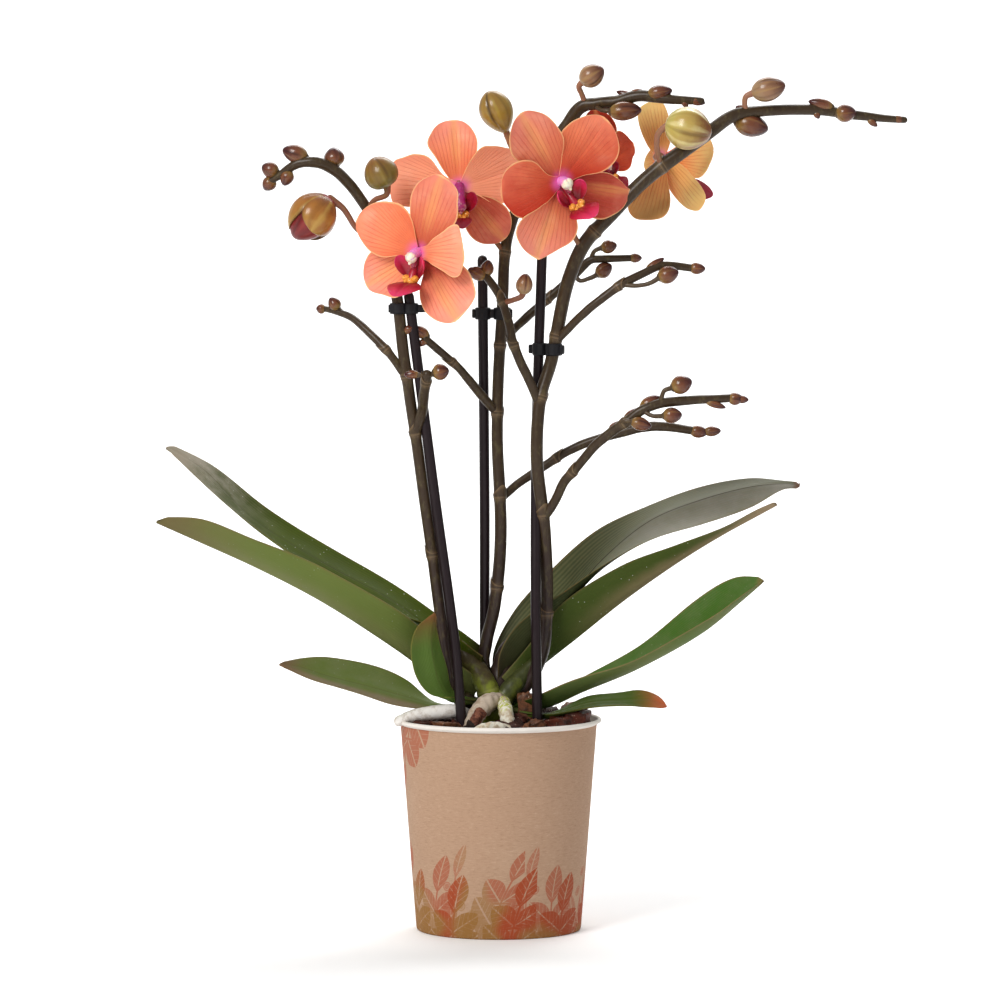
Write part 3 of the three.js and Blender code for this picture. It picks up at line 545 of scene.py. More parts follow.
class Graph(Nodes):
    """The nodes of one material."""

    def __init__(self, name: str) -> None:
        """Starts a material with a shader and its output.

        Args:
            name: The material's name.
        """
        self.material = bpy.data.materials.new(name)
        self.material.use_nodes = True
        super().__init__(self.material.node_tree)
        self.tree.nodes.clear()
        self.shader = self.node("ShaderNodeBsdfPrincipled", {}, {"Subsurface Scale": SOFT_DEPTH})
        self.node("ShaderNodeOutputMaterial", {}, {"Surface": self.shader.outputs["BSDF"]})
        self.place = self.node("ShaderNodeTexCoord").outputs["Object"]

    def math(self, operation: str, *terms: "Value | float") -> Value:
        """Returns the result of a Math node."""
        return Value(self, self.first("ShaderNodeMath", {"operation": operation}, dict(enumerate(terms))))

    def read(self, name: str) -> Value:
        """Returns a value that the mesh holds at its points."""
        return Value(self, self.node("ShaderNodeAttribute", {"attribute_name": name}).outputs["Fac"])

    def axis(self, letter: str) -> Value:
        """Returns one coordinate, in millimetres."""
        split = self.node("ShaderNodeSeparateXYZ", {}, {0: self.place})
        return Value(self, split.outputs[letter]) * 1000

    def stretched(self, stretch: Point) -> Socket:
        """Returns the object's coordinates, stretched along each axis."""
        return self.first("ShaderNodeMapping", {}, {"Vector": self.place, "Scale": stretch})

    def noise(self, scale: float, detail: float = 3, roughness: float = 0.55,
              place: Socket | None = None) -> Value:
        """Returns cloudy noise.

        Args:
            scale: How many clouds go in a metre.
            detail: How many finer layers it has.
            roughness: How strong the finer layers are.
            place: Coordinates other than the object's own.

        Returns:
            A value round 0.5.
        """
        made = self.node("ShaderNodeTexNoise", {}, {
            "Vector": place or self.place, "Scale": scale, "Detail": detail, "Roughness": roughness})
        return Value(self, made.outputs["Fac"])

    def cells(self, scale: float) -> Value:
        """Returns the distance from scattered points, as a share of their spacing."""
        made = self.node("ShaderNodeTexVoronoi", {}, {"Vector": self.place, "Scale": scale})
        return Value(self, made.outputs["Distance"])

    def mix(self, share: Link, first: Link, second: Link) -> Socket:
        """Mixes two colours.

        Args:
            share: How much of the second is in the mix.
            first: The colour where share is 0.
            second: The colour where share is 1.

        Returns:
            The mixed colour.
        """
        made = self.node("ShaderNodeMix", {"data_type": "RGBA", "clamp_factor": True}, {
            0: share, 6: first, 7: second})
        return made.outputs[2]

    def layers(self, ground: Link, *coats: tuple[Link, Link]) -> Socket:
        """Lays colours over a ground.

        Args:
            ground: The colour below.
            coats: The share that each coat covers, and its colour, from below to above.

        Returns:
            The colour that shows.
        """
        for share, colour in coats:
            ground = self.mix(share, ground, colour)
        return ground

    def set(self, **sockets: Link) -> None:
        """Sets or links inputs of the shader, with _ for a space in a name."""
        for name, source in sockets.items():
            self.feed(self.shader.inputs[name.replace("_", " ")], source)

    def surface(self, colour: Link, roughness: Link, height: Value, depth: float, **sockets: Link) -> None:
        """Sets what every finish has.

        Args:
            colour: The surface's colour.
            roughness: How matte it is.
            height: The height of its relief.
            depth: How far the relief stands out, in millimetres.
            sockets: Other inputs of the shader, with _ for a space in a name.
        """
        relief = self.first("ShaderNodeBump", {}, {"Strength": 1, "Distance": depth * MM, "Height": height})
        self.set(Base_Color=colour, Roughness=roughness, Normal=relief, **sockets)


@dataclass(frozen=True)
class Finish:
    """What a surface is made of."""

    name: str

    def paint(self, g: Graph) -> None:
        """Leaves the shader as it is."""


@cache
def material_of(finish: Finish) -> bpy.types.Material:
    """Makes a material, or finds the one that was made before.

    Args:
        finish: What the surface is made of.

    Returns:
        The finish's only material.
    """
    graph = Graph(finish.name)
    finish.paint(graph)
    return graph.material


@dataclass(frozen=True)
class PetalFinish(Finish):
    """Soft petal tissue with veins that fan out, a pale rim and a pink heart; its tone partly paints shade
    and light.
    """

    light: Colour
    outer: Colour
    deep: Colour
    vein: Colour
    rim: Colour
    back: Colour
    behind_tip: Colour = "#dec47c"
    behind_deep: Colour = "#8c421a"
    pale: Colour = "#ffba9c"
    middle: Colour = "#eca864"
    heart: Colour = "#ee70be"
    heart_reach: float = 8.2
    # The dark red at the base near the lip: partly the flower's own colour, partly painted shade.
    blush: Colour = "#962822"
    veins: float = 15
    vein_width: float = 0.2
    vein_strength: float = 0.4
    threads: float = 0.5
    streak: float = 0

    def paint(self, g: Graph) -> None:
        """Paints the petal's face and back.

        Args:
            g: The material's nodes.
        """
        along, across, lean = g.read("along"), abs(g.read("across")), g.read("tone")
        fan = g.read("fan") * self.veins
        cloud, fine = g.noise(110, 4), g.noise(900, 2)
        line = abs((fan + cloud * 0.4 + fine * 0.06).fract() - 0.5)
        thread = abs((fan * 2.7 + cloud * 1.4).fract() - 0.5)
        fade = along.step(0.05, 0.3) * (1 - along.step(0.7, 0.99)) * (1 - across.step(0.72, 1) * 0.8)
        veins = ((1 - line.step(0, self.vein_width)) * (0.4 + cloud)
                 + (1 - thread.step(0, 0.24)) * self.threads) * fade * (0.55 + g.noise(190, 3) * 0.9)
        # Each part's tone deepens its colour; it is partly the part's own colour and partly painted shade.
        tone = lean + (cloud - 0.5) * 0.5
        shade = (1 - (along + (cloud - 0.5) * 0.3).step(0.05, 0.6)) * (0.22 + (lean * 0.8).top(-0.2))
        edge = across.step(0.935, 0.995).top(along.step(0.965, 0.997))
        heart = 1 - (g.read("hub") + (cloud - 0.5) * 2.4).step(0.4, self.heart_reach)
        heart = heart * heart
        body = g.layers(
            self.light,
            (along.step(0.3, 0.95) * (0.25 + cloud), self.outer),
            (g.noise(70, 3).step(0.5, 0.72) * along.step(0.2, 0.6) * 0.45, self.pale),
            # A negative tone lays the pale colour over the part: painted light on parts that sit in shade.
            ((lean * -2).top(0), self.pale),
            (tone.step(0, 1), self.deep),
            (shade + across.step(0.5, 1) * 0.16, self.deep),
            ((1 - across.step(0.02, 0.42)) * along.step(0.15, 0.5) * self.streak, self.middle),
            (veins * self.vein_strength, self.vein),
            # Dark red at the base of the sepals near the lip, partly painted shade.
            (g.read("blush") * (0.55 + cloud * 0.7), self.blush),
            (edge * (0.3 + cloud * 0.8), self.rim),
            (heart * 0.95, self.heart))
        behind = g.layers(
            self.back,
            (along.step(0.25, 0.9) * (0.2 + cloud), self.behind_tip),
            (veins * 0.4, self.deep),
            (tone.step(0.1, 1.1) * 0.7, self.behind_deep),
            (edge * 0.4, self.rim),
            (heart * 0.6, self.heart))
        g.surface(g.mix(g.read("front"), behind, body), 0.52 + fine * 0.12,
                  veins * -0.6 + fine * 0.3 + cloud * 0.8, 0.16,
                  Subsurface_Weight=0.12, Sheen_Weight=0.04, Specular_IOR_Level=0.3, IOR=1.35)


@dataclass(frozen=True)
class LipFinish(Finish):
    """Waxy lip: crimson lobes, and a yellow crest with red specks."""

    lobe: Colour = "#c01636"
    shade: Colour = "#84081e"
    glow: Colour = "#ea3a7a"
    crest: Colour = "#f0a23e"
    speck: Colour = "#aa2c1a"

    def paint(self, g: Graph) -> None:
        """Paints the lobes and the crest.

        Args:
            g: The material's nodes.
        """
        cloud = g.noise(260, 4)
        lobe = g.layers(
            self.shade,
            (g.read("along").step(0, 0.9), self.lobe),
            ((1 - abs(g.read("across")).step(0, 0.5)) * cloud * 0.7, self.shade),
            (g.read("glow") * 0.8, self.glow),
            (g.read("shade"), self.shade))
        dots = 1 - g.cells(1300).step(0.26, 0.44)
        crest = g.mix(dots * cloud.step(0.3, 0.5) * 0.7, self.crest, self.speck)
        g.surface(g.mix(g.read("tone"), lobe, crest), 0.34 + cloud * 0.15, cloud, 0.1,
                  Subsurface_Weight=0.12, Coat_Weight=0.15)


@dataclass(frozen=True)
class ColumnFinish(Finish):
    """Waxy column: white cap, lilac neck, and a darker rose hollow under the cap that is partly painted
    shade.
    """

    cap: Colour = "#fceed4"
    mottle: Colour = "#e8ba9e"
    neck: Colour = "#e88ed6"
    throat_shade: Colour = "#b04660"

    def paint(self, g: Graph) -> None:
        """Paints the column from its neck to its cap.

        Args:
            g: The material's nodes.
        """
        cloud = g.noise(500, 3)
        rise = (g.read("along") + (cloud - 0.5) * 0.25).step(0.25, 0.62)
        cap = g.mix(g.noise(420, 3).step(0.42, 0.66) * 0.55, self.cap, self.mottle)
        # The knob in the hollow under the cap takes the darker rose, partly as painted shade.
        skin = g.layers(self.neck, (rise, cap), (g.read("tone"), self.throat_shade))
        g.surface(skin, 0.32 + cloud * 0.1, cloud, 0.3, Subsurface_Weight=0.2, Coat_Weight=0.2)


@dataclass(frozen=True)
class BudFinish(Finish):
    """Waxy bud skin that turns from base to tip, with darker seams and lengthwise streaks."""

    base: Colour
    middle: Colour
    tip: Colour
    seam: Colour
    streak: Colour
    streaks: float = 0.35
    gloss: float = 0.26

    def paint(self, g: Graph) -> None:
        """Paints the bud.

        Args:
            g: The material's nodes.
        """
        along = g.read("along")
        cloud, fine = g.noise(170, 4), g.noise(700, 3)
        spot = along + (cloud - 0.5) * 0.6
        stripe = g.read("stripe") + (cloud - 0.5) * 0.6
        skin = g.layers(
            self.base,
            (spot.step(0, 0.45), self.middle),
            (spot.step(0.45, 0.95), self.tip),
            (stripe.step(0.55, 0.95) * self.streaks * (1 - along.step(0.75, 1)), self.streak),
            (stripe.step(0.45, 0.1) * 0.25, self.seam),
            (g.read("seam") * along.step(0.1, 0.5) * 0.85, self.seam))
        g.surface(skin, self.gloss + cloud * 0.14, fine * 0.5 + cloud, 0.1, Coat_Weight=0.3,
                  Coat_Roughness=0.1, Subsurface_Weight=0.04, Specular_IOR_Level=0.3)


@dataclass(frozen=True)
class StemFinish(Finish):
    """Stem skin: purple-brown low down, olive higher up, with paler rings at its nodes."""

    low: Colour
    high: Colour
    ring: Colour
    fleck: Colour
    low_until: float = 120
    high_from: float = 230
    gloss: float = 0.4

    def paint(self, g: Graph) -> None:
        """Paints the stem.

        Args:
            g: The material's nodes.
        """
        cloud, fine = g.noise(90, 4), g.noise(600, 3)
        streak = g.noise(200, 4, 0.65, g.stretched((2.2, 2.2, 1)))
        skin = g.layers(
            self.low,
            ((g.axis("Z") + (cloud - 0.5) * 90).step(self.low_until, self.high_from), self.high),
            (streak.step(0.48, 0.72) * 0.45, self.fleck),
            (fine.step(0.6, 0.8) * 0.25, self.low),
            (g.read("ring") * 0.35, self.ring),
            (g.read("tone"), self.ring))
        g.surface(skin, self.gloss + streak * 0.15, streak * 0.7 + fine * 0.3, 0.1, Coat_Weight=0.1,
                  Coat_Roughness=0.2, Specular_IOR_Level=0.22)


@dataclass(frozen=True)
class LeafFinish(Finish):
    """Thick leaf skin: glossy above, matte below, with lengthwise lines, dusty grey with painted sheen and a
    dry tip.
    """

    top: Colour
    under: Colour
    tip: Colour
    base: Colour = "#5c6034"
    edge: Colour = "#70603c"
    # The grey of the dusty film, which also paints the leaf's sheen.
    bloom: Colour = "#969484"
    speck: Colour = "#e2e2d6"
    band: Colour = "#867a5c"
    # The next three set the dusty grey film, which also paints the sheen where the leaf catches the light.
    dust_and_sheen: float = 0.2
    dust_and_sheen_from: float = 0.2
    dust_and_sheen_side: float = 0
    specks: float = 0.3
    tip_from: float = 0.88
    base_until: float = 0.12
    gloss: float = 0.4
    band_reach: float = 0
    rib_band: float = 0
    rib_from: float = -0.35
    lines: float = 0.2
    line_count: float = 15
    mottle: float = 0.8
    # How dark the painted shade along the midrib fold is.
    crease_shade: float = 0.6
    shine: float = 1.25

    def paint(self, g: Graph) -> None:
        """Paints the leaf's two sides.

        Args:
            g: The material's nodes.
        """
        along, side, front = g.read("along"), g.read("across"), g.read("front")
        across = abs(side)
        cloud, patch, fine = g.noise(28, 4), g.noise(75, 5, 0.65), g.noise(420, 3)
        lines = abs((side * self.line_count + cloud * 0.3 + fine * 0.15).fract() - 0.5).step(0, 0.5)
        band = (side + (cloud - 0.5) * 0.2).step(1 - 1.6 * self.band_reach, 1 - 0.6 * self.band_reach)
        # A dusty grey film towards the tip: partly dust, partly a painted sheen.
        dust_and_sheen_mask = (1 - self.mottle) + patch.step(0.3, 0.7) * self.mottle + lines * 0.2
        dust_and_sheen_mask = dust_and_sheen_mask * along.step(self.dust_and_sheen_from, self.dust_and_sheen_from + 0.3)
        dust_and_sheen_mask = dust_and_sheen_mask * (1 - (1 - side.step(-0.25, 0.25)) * self.dust_and_sheen_side)
        specks = (1 - g.cells(420).step(0.05, 0.13)) * patch.step(0.4, 0.6) * self.specks
        rib = (1 - (across + (patch - 0.5) * 0.3).step(0.1, 0.7)) * self.rib_band
        top = g.layers(
            self.top,
            (lines * self.lines + patch.step(0.35, 0.75) * 0.25, self.under),
            (band * 0.8 * along.step(0.1, 0.3), self.band),
            (dust_and_sheen_mask * self.dust_and_sheen, self.bloom),
            # A darker line along the midrib on top: painted shade in the fold.
            ((1 - across.step(0, 0.05)) * self.crease_shade, self.base),
            (specks, self.speck))
        under = g.layers(
            self.under,
            (cloud.step(0.3, 0.7) * 0.4 + lines * 0.15, self.top),
            (rib * along.step(self.rib_from, self.rib_from + 0.35), self.band),
            (specks * 0.6, self.speck))
        skin = g.layers(
            g.mix(front, under, top),
            (1 - (along + (cloud - 0.5) * 0.1).step(0.02, self.base_until), self.base),
            ((along + (patch - 0.5) * 0.12).step(self.tip_from, 1), self.tip),
            (across.step(0.94, 1) * 0.5, self.edge))
        g.surface(skin, self.gloss + patch * 0.22 + (1 - front) * 0.08,
                  lines * 0.25 + fine * 0.4 + patch * 0.6, 0.12,
                  Specular_IOR_Level=0.3, Subsurface_Weight=0.03, IOR=self.shine)


@dataclass(frozen=True)
class RootFinish(Finish):
    """Dry spongy root skin: whitish, mottled and cracked, with a green bloom."""

    pale: Colour
    tan: Colour
    green: Colour = "#aab046"
    torn: Colour = "#542a20"
    torn_light: Colour = "#824e38"
    relief: float = 0.22

    def paint(self, g: Graph) -> None:
        """Paints the root, with its torn places.

        Args:
            g: The material's nodes.
        """
        cloud, fine = g.noise(230, 5, 0.7), g.noise(1100, 4, 0.7)
        rag = g.read("torn") + (g.noise(330, 3) - 0.5) * 0.8
        skin = g.layers(
            self.pale,
            (cloud.step(0.42, 0.62), self.tan),
            (g.noise(900, 2).step(0.42, 0.6) * g.read("tone"), self.green),
            (fine.step(0.58, 0.75) * 0.4, self.tan),
            (rag.step(0.44, 0.54), g.mix(fine.step(0.4, 0.6), self.torn, self.torn_light)))
        g.surface(skin, 0.8 + fine * 0.1, cloud + fine * 0.5, self.relief)


@dataclass(frozen=True)
class BarkFinish(Finish):
    """Bark chips: each with its own brown, fibrous and crumbly, with painted glints."""

    dark: Colour = "#20120b"
    red: Colour = "#582618"
    tan: Colour = "#7a4e32"
    painted_glint: Colour = "#d6bea6"

    def paint(self, g: Graph) -> None:
        """Paints the chips by their tint.

        Args:
            g: The material's nodes.
        """
        tint = g.read("tint")
        fibre, grit = g.noise(330, 5, 0.7), g.noise(1500, 3, 0.7)
        skin = g.layers(
            self.dark,
            (tint.step(0.25, 0.7), self.red),
            (tint.step(0.72, 0.98) * 0.9, self.tan),
            (fibre.step(0.42, 0.66) * 0.8, self.dark),
            (grit.step(0.6, 0.74) * 0.5, self.tan),
            # Pale flecks on the redder chips: painted glints.
            (g.noise(700, 3, 0.7).step(0.64, 0.72) * tint.step(0.3, 0.5), self.painted_glint))
        g.surface(skin, 0.72 - tint * 0.36 + grit * 0.15, fibre + grit * 0.25, 0.45, Specular_IOR_Level=0.28)


@dataclass(frozen=True)
class CoatedFinish(Finish):
    """Smooth moulded or coated plastic with faint wear."""

    body: Colour
    worn: Colour
    gloss: float
    clear: float = 1

    def paint(self, g: Graph) -> None:
        """Paints the plastic with its scratches.

        Args:
            g: The material's nodes.
        """
        scratch = g.noise(500, 3, 0.7, g.stretched((5, 5, 0.6)))
        skin = g.mix(scratch.step(0.55, 0.8) * 0.5, self.body, self.worn)
        g.surface(skin, self.gloss + g.noise(120, 4) * 0.14, scratch, 0.05, Alpha=self.clear,
                  Specular_IOR_Level=0.25)


@dataclass(frozen=True)
class SprigPrint:
    """One ring of leafy sprigs printed on the card, in millimetres."""

    count: int
    foot: float
    wander: float
    size: float
    shift: float
    strength: float
    fat: float
    lean: float = 50
    berries: bool = False
    pairs: int = 3

    def mask(self, g: Graph, angle: Value, height: Value, spread: float) -> Value:
        """Draws the sprigs.

        Args:
            g: The material's graph.
            angle: The angle round the sleeve, in turns.
            height: The height on the sleeve, in millimetres.
            spread: The length of one turn, in millimetres.

        Returns:
            A value that is 1 on the ink and 0 beside it.
        """
        lane = angle * float(self.count) + self.shift
        number = lane.floor()
        luck = Value(g, g.first("ShaderNodeTexWhiteNoise", {"noise_dimensions": "1D"},
                                {"W": number + self.shift * 7}))
        beside = (lane - number - 0.5) * (spread / self.count)
        up = (height - self.foot - luck * self.wander) / self.size
        beside = (beside + (luck - 0.5) * 5) / self.size
        beside = beside - up * up * 0.01 - up * (luck - 0.5) * 0.6
        near = abs(beside)
        length = 6 + 5.6 * self.pairs
        ink = (1 - near.step(0.2, 0.38)) * up.step(0, 0.6) * (1 - up.step(length - 4, length - 3))
        for k in range(self.pairs):
            reach = 6.6 - 0.7 * k
            middle = (0.66 * reach, 3.6 + 5.6 * k)
            ink = ink.top(self.berry(near, up, middle, 1.7 - 0.1 * k) if self.berries and k
                          else self.leaf(near, up, middle, self.lean - 4 * k, reach))
        return ink.top(self.leaf(near, up, (0, length), 90, 5.4))

    def leaf(self, x: Value, y: Value, middle: tuple[float, float], lean: float, half: float) -> Value:
        """Draws one leaf with its veins left bare.

        Args:
            x: The place across.
            y: The place along.
            middle: The leaf's middle.
            lean: Its angle in degrees.
            half: Its half length.

        Returns:
            A value that is 1 on the ink.
        """
        cos, sin = math.cos(math.radians(lean)), math.sin(math.radians(lean))
        dx, dy = x - middle[0], y - middle[1]
        along = (dx * cos + dy * sin) / half
        off = abs(dy * cos - dx * sin) / half
        body = ((1 - along * along) * self.fat - off).step(0, 0.04)
        veins = abs(((along - off * 0.9) * 3.2).fract() - 0.5).step(0.03, 0.09)
        return body * off.step(0.015, 0.05) * (veins * 0.55 + 0.45)

    @staticmethod
    def berry(x: Value, y: Value, middle: tuple[float, float], radius: float) -> Value:
        """Draws one round berry with a pale ring.

        Args:
            x: The place across.
            y: The place along.
            middle: The berry's middle.
            radius: Its radius.

        Returns:
            A value that is 1 on the ink.
        """
        dx, dy = x - middle[0] * 0.75, y - middle[1]
        away = (dx * dx + dy * dy) ** 0.5
        ring = abs(away - radius * 0.62).step(0.05, 0.2) * 0.6 + 0.4
        return (1 - away.step(radius - 0.2, radius)) * ring


@dataclass(frozen=True)
class CardFinish(Finish):
    """Kraft card with fine fibres, a plain leafy print and a white lip and inside."""

    card: Colour = "#ac8c73"
    fibre: Colour = "#8a6850"
    pale: Colour = "#c2a68e"
    white: Colour = "#e2dcd5"
    white_grain: Colour = "#d6cec4"
    ink_high: Colour = "#983e1c"
    ink_low: Colour = "#8c622e"
    turn_length: float = 255
    prints: tuple[SprigPrint, ...] = (
        SprigPrint(7, -2, 9, 1.55, 0.15, strength=0.75, fat=0.34, lean=58, berries=True),
        SprigPrint(8, -14, 13, 1.7, 0.62, strength=0.85, fat=0.55),
        SprigPrint(9, -22, 12, 1.75, 0.35, strength=1, fat=0.6, lean=42),
        SprigPrint(2, 106, 6, -1.9, 0.786, strength=0.95, fat=0.55))

    def paint(self, g: Graph) -> None:
        """Paints the card, its print, its seam and its white inside.

        Args:
            g: The material's nodes.
        """
        fibre = g.noise(380, 5, 0.72, g.stretched((1, 1, 4.5)))
        grain, wash = g.noise(2600, 2, 0.6), g.noise(26, 2)
        height = g.axis("Z")
        angle = g.math("ARCTAN2", g.axis("X"), g.axis("Y") * -1) / (2 * math.pi)
        ink = g.mix((height * 0.5 + (wash - 0.5) * 150).step(-4, 16), self.ink_low, self.ink_high)
        wear = 0.74 + fibre * 0.3
        seam = abs(angle).step(0.4965, 0.4985)
        sprigs = ((ring.mask(g, angle, height, self.turn_length) * wear * ring.strength,
                   g.mix(0.08 * (2 - number % 3), ink, self.pale)) for number, ring in enumerate(self.prints))
        card = g.layers(
            self.card,
            (fibre.step(0.5, 0.7) * 0.45, self.fibre),
            ((1 - fibre.step(0.3, 0.46)) * 0.5 + g.noise(40, 4).step(0.5, 0.8) * 0.2, self.pale),
            (grain.step(0.6, 0.72) * 0.4, self.fibre),
            *sprigs,
            (seam * 0.5, self.fibre))
        white = g.mix(grain.step(0.45, 0.7) * 0.25, self.white, self.white_grain)
        g.surface(g.mix(g.read("zone"), card, white), 0.78 + grain * 0.14,
                  fibre * 0.6 + grain * 0.4 - seam, 0.12, Specular_IOR_Level=0.3)


PETAL = PetalFinish(
    "petal_salmon", light="#ff9060", outer="#fe9476", deep="#bc321a", vein="#ce4c3c", rim="#ffc88e",
    back="#e89254")
SEPAL = PetalFinish(
    "sepal_salmon", light="#ee8a60", outer="#f29a86", deep="#a8301c", vein="#c64e42", rim="#fac88e",
    back="#de9e5a", veins=24, vein_width=0.22, vein_strength=0.44, threads=0.15, heart_reach=7,
    streak=0.42)
LIP = LipFinish("lip_crimson")
COLUMN = ColumnFinish("column_white")
COLUMN_MAGENTA = ColumnFinish("column_magenta", cap="#b02e74", neck="#a0186a")
STEM = StemFinish(
    "stem_olive", low="#322522", high="#3a2c1d", ring="#8e7456", fleck="#5e5436", gloss=0.28)
STALK = StemFinish(
    "stalk_rosy", low="#80523e", high="#966850", ring="#aa826a", fleck="#8c7646", low_until=320,
    high_from=380, gloss=0.3)
SMALL_BUD = BudFinish(
    "bud_small_brown", base="#886a36", middle="#6c3e28", tip="#441818", seam="#301412", streak="#96703c",
    gloss=0.18)
BUD_OLIVE = BudFinish(
    "bud_olive", base="#6c6022", middle="#765c22", tip="#7e5420", seam="#503818", streak="#96823c",
    gloss=0.34)
BUD_GREEN = BudFinish(
    "bud_yellow_green", base="#927430", middle="#9a7c36", tip="#8c6a2e", seam="#342410", streak="#b0a046")
BUD_YELLOW = BudFinish(
    "bud_pale_yellow", base="#b6aa5a", middle="#b2964e", tip="#7c481c", seam="#745622", streak="#d8ca8e",
    streaks=0.9)
BUD_GOLD = BudFinish(
    "bud_gold", base="#7a461c", middle="#9e6628", tip="#aa843c", seam="#542c12", streak="#be9c4a",
    streaks=0.6)
BUD_BROWN = BudFinish(
    "bud_rosy_brown", base="#9e8260", middle="#906a4c", tip="#5c3022", seam="#4a261a", streak="#a68452",
    gloss=0.22, streaks=0.6)
BUD_HEART = BudFinish(
    "bud_heart_red", base="#962822", middle="#8a2422", tip="#6e1618", seam="#460a0e", streak="#a83c2e")
CROWN_SKIN = StemFinish(
    "crown_green", low="#7a8428", high="#40361e", ring="#a8a668", fleck="#5c542c", low_until=98,
    high_from=121)
CROWN_RIGHT = StemFinish(
    "crown_olive", low="#5c6424", high="#383c1c", ring="#96945c", fleck="#54582a", low_until=96,
    high_from=114)
CROWN_DARK = StemFinish(
    "crown_purple", low="#423a20", high="#2e201b", ring="#3e3026", fleck="#4e422a", low_until=100,
    high_from=114)
ROOT_SILVER = RootFinish("root_silver", pale="#e2ded9", tan="#c4bbb1", relief=0.1)
ROOT_BEIGE = RootFinish("root_beige", pale="#baaa98", tan="#9e8a76")
ROOT_WHITE = RootFinish("root_white", pale="#dedaca", tan="#b6a286")
BARK = BarkFinish("bark_chips")
STAKE = CoatedFinish("stake_coated", body="#1e1317", worn="#36282c", gloss=0.24)
CLIP_PLASTIC = CoatedFinish("clip_black", body="#16161a", worn="#28282e", gloss=0.36)
GROW_PLASTIC = CoatedFinish("grow_pot_clear", body="#ceccc4", worn="#aaa69c", gloss=0.2, clear=0.25)
CARD = CardFinish("kraft_card")


# Holder


@dataclass
class Holder:
    """Card sleeve, its foot disc and the clear grow pot inside."""

    foot_radius: float = 38
    taper: float = 0.0767
    wall: float = 0.8
    wall_top: float = 95.2
    lip_height: float = 97
    lip_middle: float = 46.5
    lip_roll: float = 0.95
    fold_height: float = 5
    fold_inner: float = 35.6
    corner: float = 1.1
    disc_thickness: float = 1.2
    grow_floor: float = 33.5
    grow_low: float = 1.5
    grow_rim: float = 42.6
    grow_flange: float = 43.7
    grow_height: float = 91

    def outer(self, height: float) -> float:
        """Returns the sleeve's radius at a height."""
        return self.foot_radius + self.taper * height

    def sleeve(self) -> None:
        """Makes the card sleeve with its rolled lip."""
        corner = [(self.outer(0) - self.corner * (1 - math.sin(a)), self.corner * (1 - math.cos(a)), 0)
                  for a in np.linspace(0, math.pi / 2, 6)]
        wall = [(self.outer(z), z, 0) for z in np.linspace(2, self.wall_top, 24)]
        join = [(self.outer(z), z, zone) for z, zone in ((self.wall_top + 0.1, 0), (self.wall_top + 0.15, 1))]
        roll = [(self.lip_middle + self.lip_roll * math.cos(a),
                 self.lip_height + self.lip_roll * math.sin(a), 1)
                for a in np.radians(np.linspace(-128, 196, 22))]
        inner = [(self.outer(z) - self.wall, z, 1)
                 for z in np.linspace(self.wall_top - 0.6, self.fold_height + 1, 12)]
        fold = [(self.fold_inner, self.fold_height, 1), (self.fold_inner, 0.4, 1),
                (self.fold_inner + 0.4, 0, 0)]
        profile = np.array([*corner, *wall, *join, *roll, *inner, *fold])
        Piece("pot_sleeve_card", turned(profile, CARD, 200)).build("card", "pot_sleeve", keen=40)

    def base(self) -> None:
        """Makes the white disc in the sleeve's foot."""
        edge, top = self.fold_inner - 0.3, self.disc_thickness
        profile = np.array([(NEAR_AXIS, 0, 1), (edge - 0.4, 0, 1), (edge, 0.3, 1), (edge, top - 0.2, 1),
                            (edge - 0.3, top, 1), (NEAR_AXIS, top, 1)])
        Piece("pot_foot_disc", turned(profile, CARD, 120)).build("base_card", "pot_base", keen=40)

    def grow_pot(self) -> None:
        """Makes the clear pot with its rim and stepped wall."""
        floor, low, top, wall = self.grow_floor, self.grow_low, self.grow_height, self.wall
        flare = (self.grow_rim - floor) / (top - low)
        step = [(floor + flare * (z - low) + lift, z) for z, lift in (
            (low + 1.2, 0), (30, 0), (31, 0.25), (60, 0.1), (61, 0.3), (top - 1, 0))]
        profile = np.array([
            (NEAR_AXIS, low), (floor - 1, low), *step, (self.grow_flange, top - 1), (self.grow_flange, top),
            (self.grow_rim - wall, top), *((r - wall - 0.2, z) for r, z in step[-2::-1]),
            (floor - 1.6, low + 1.1), (NEAR_AXIS, low + 1.1)])
        Piece("grow_pot_clear", turned(profile, GROW_PLASTIC, 120)).build(
            "clear_plastic", "grow_pot", keen=35)


# Medium and roots


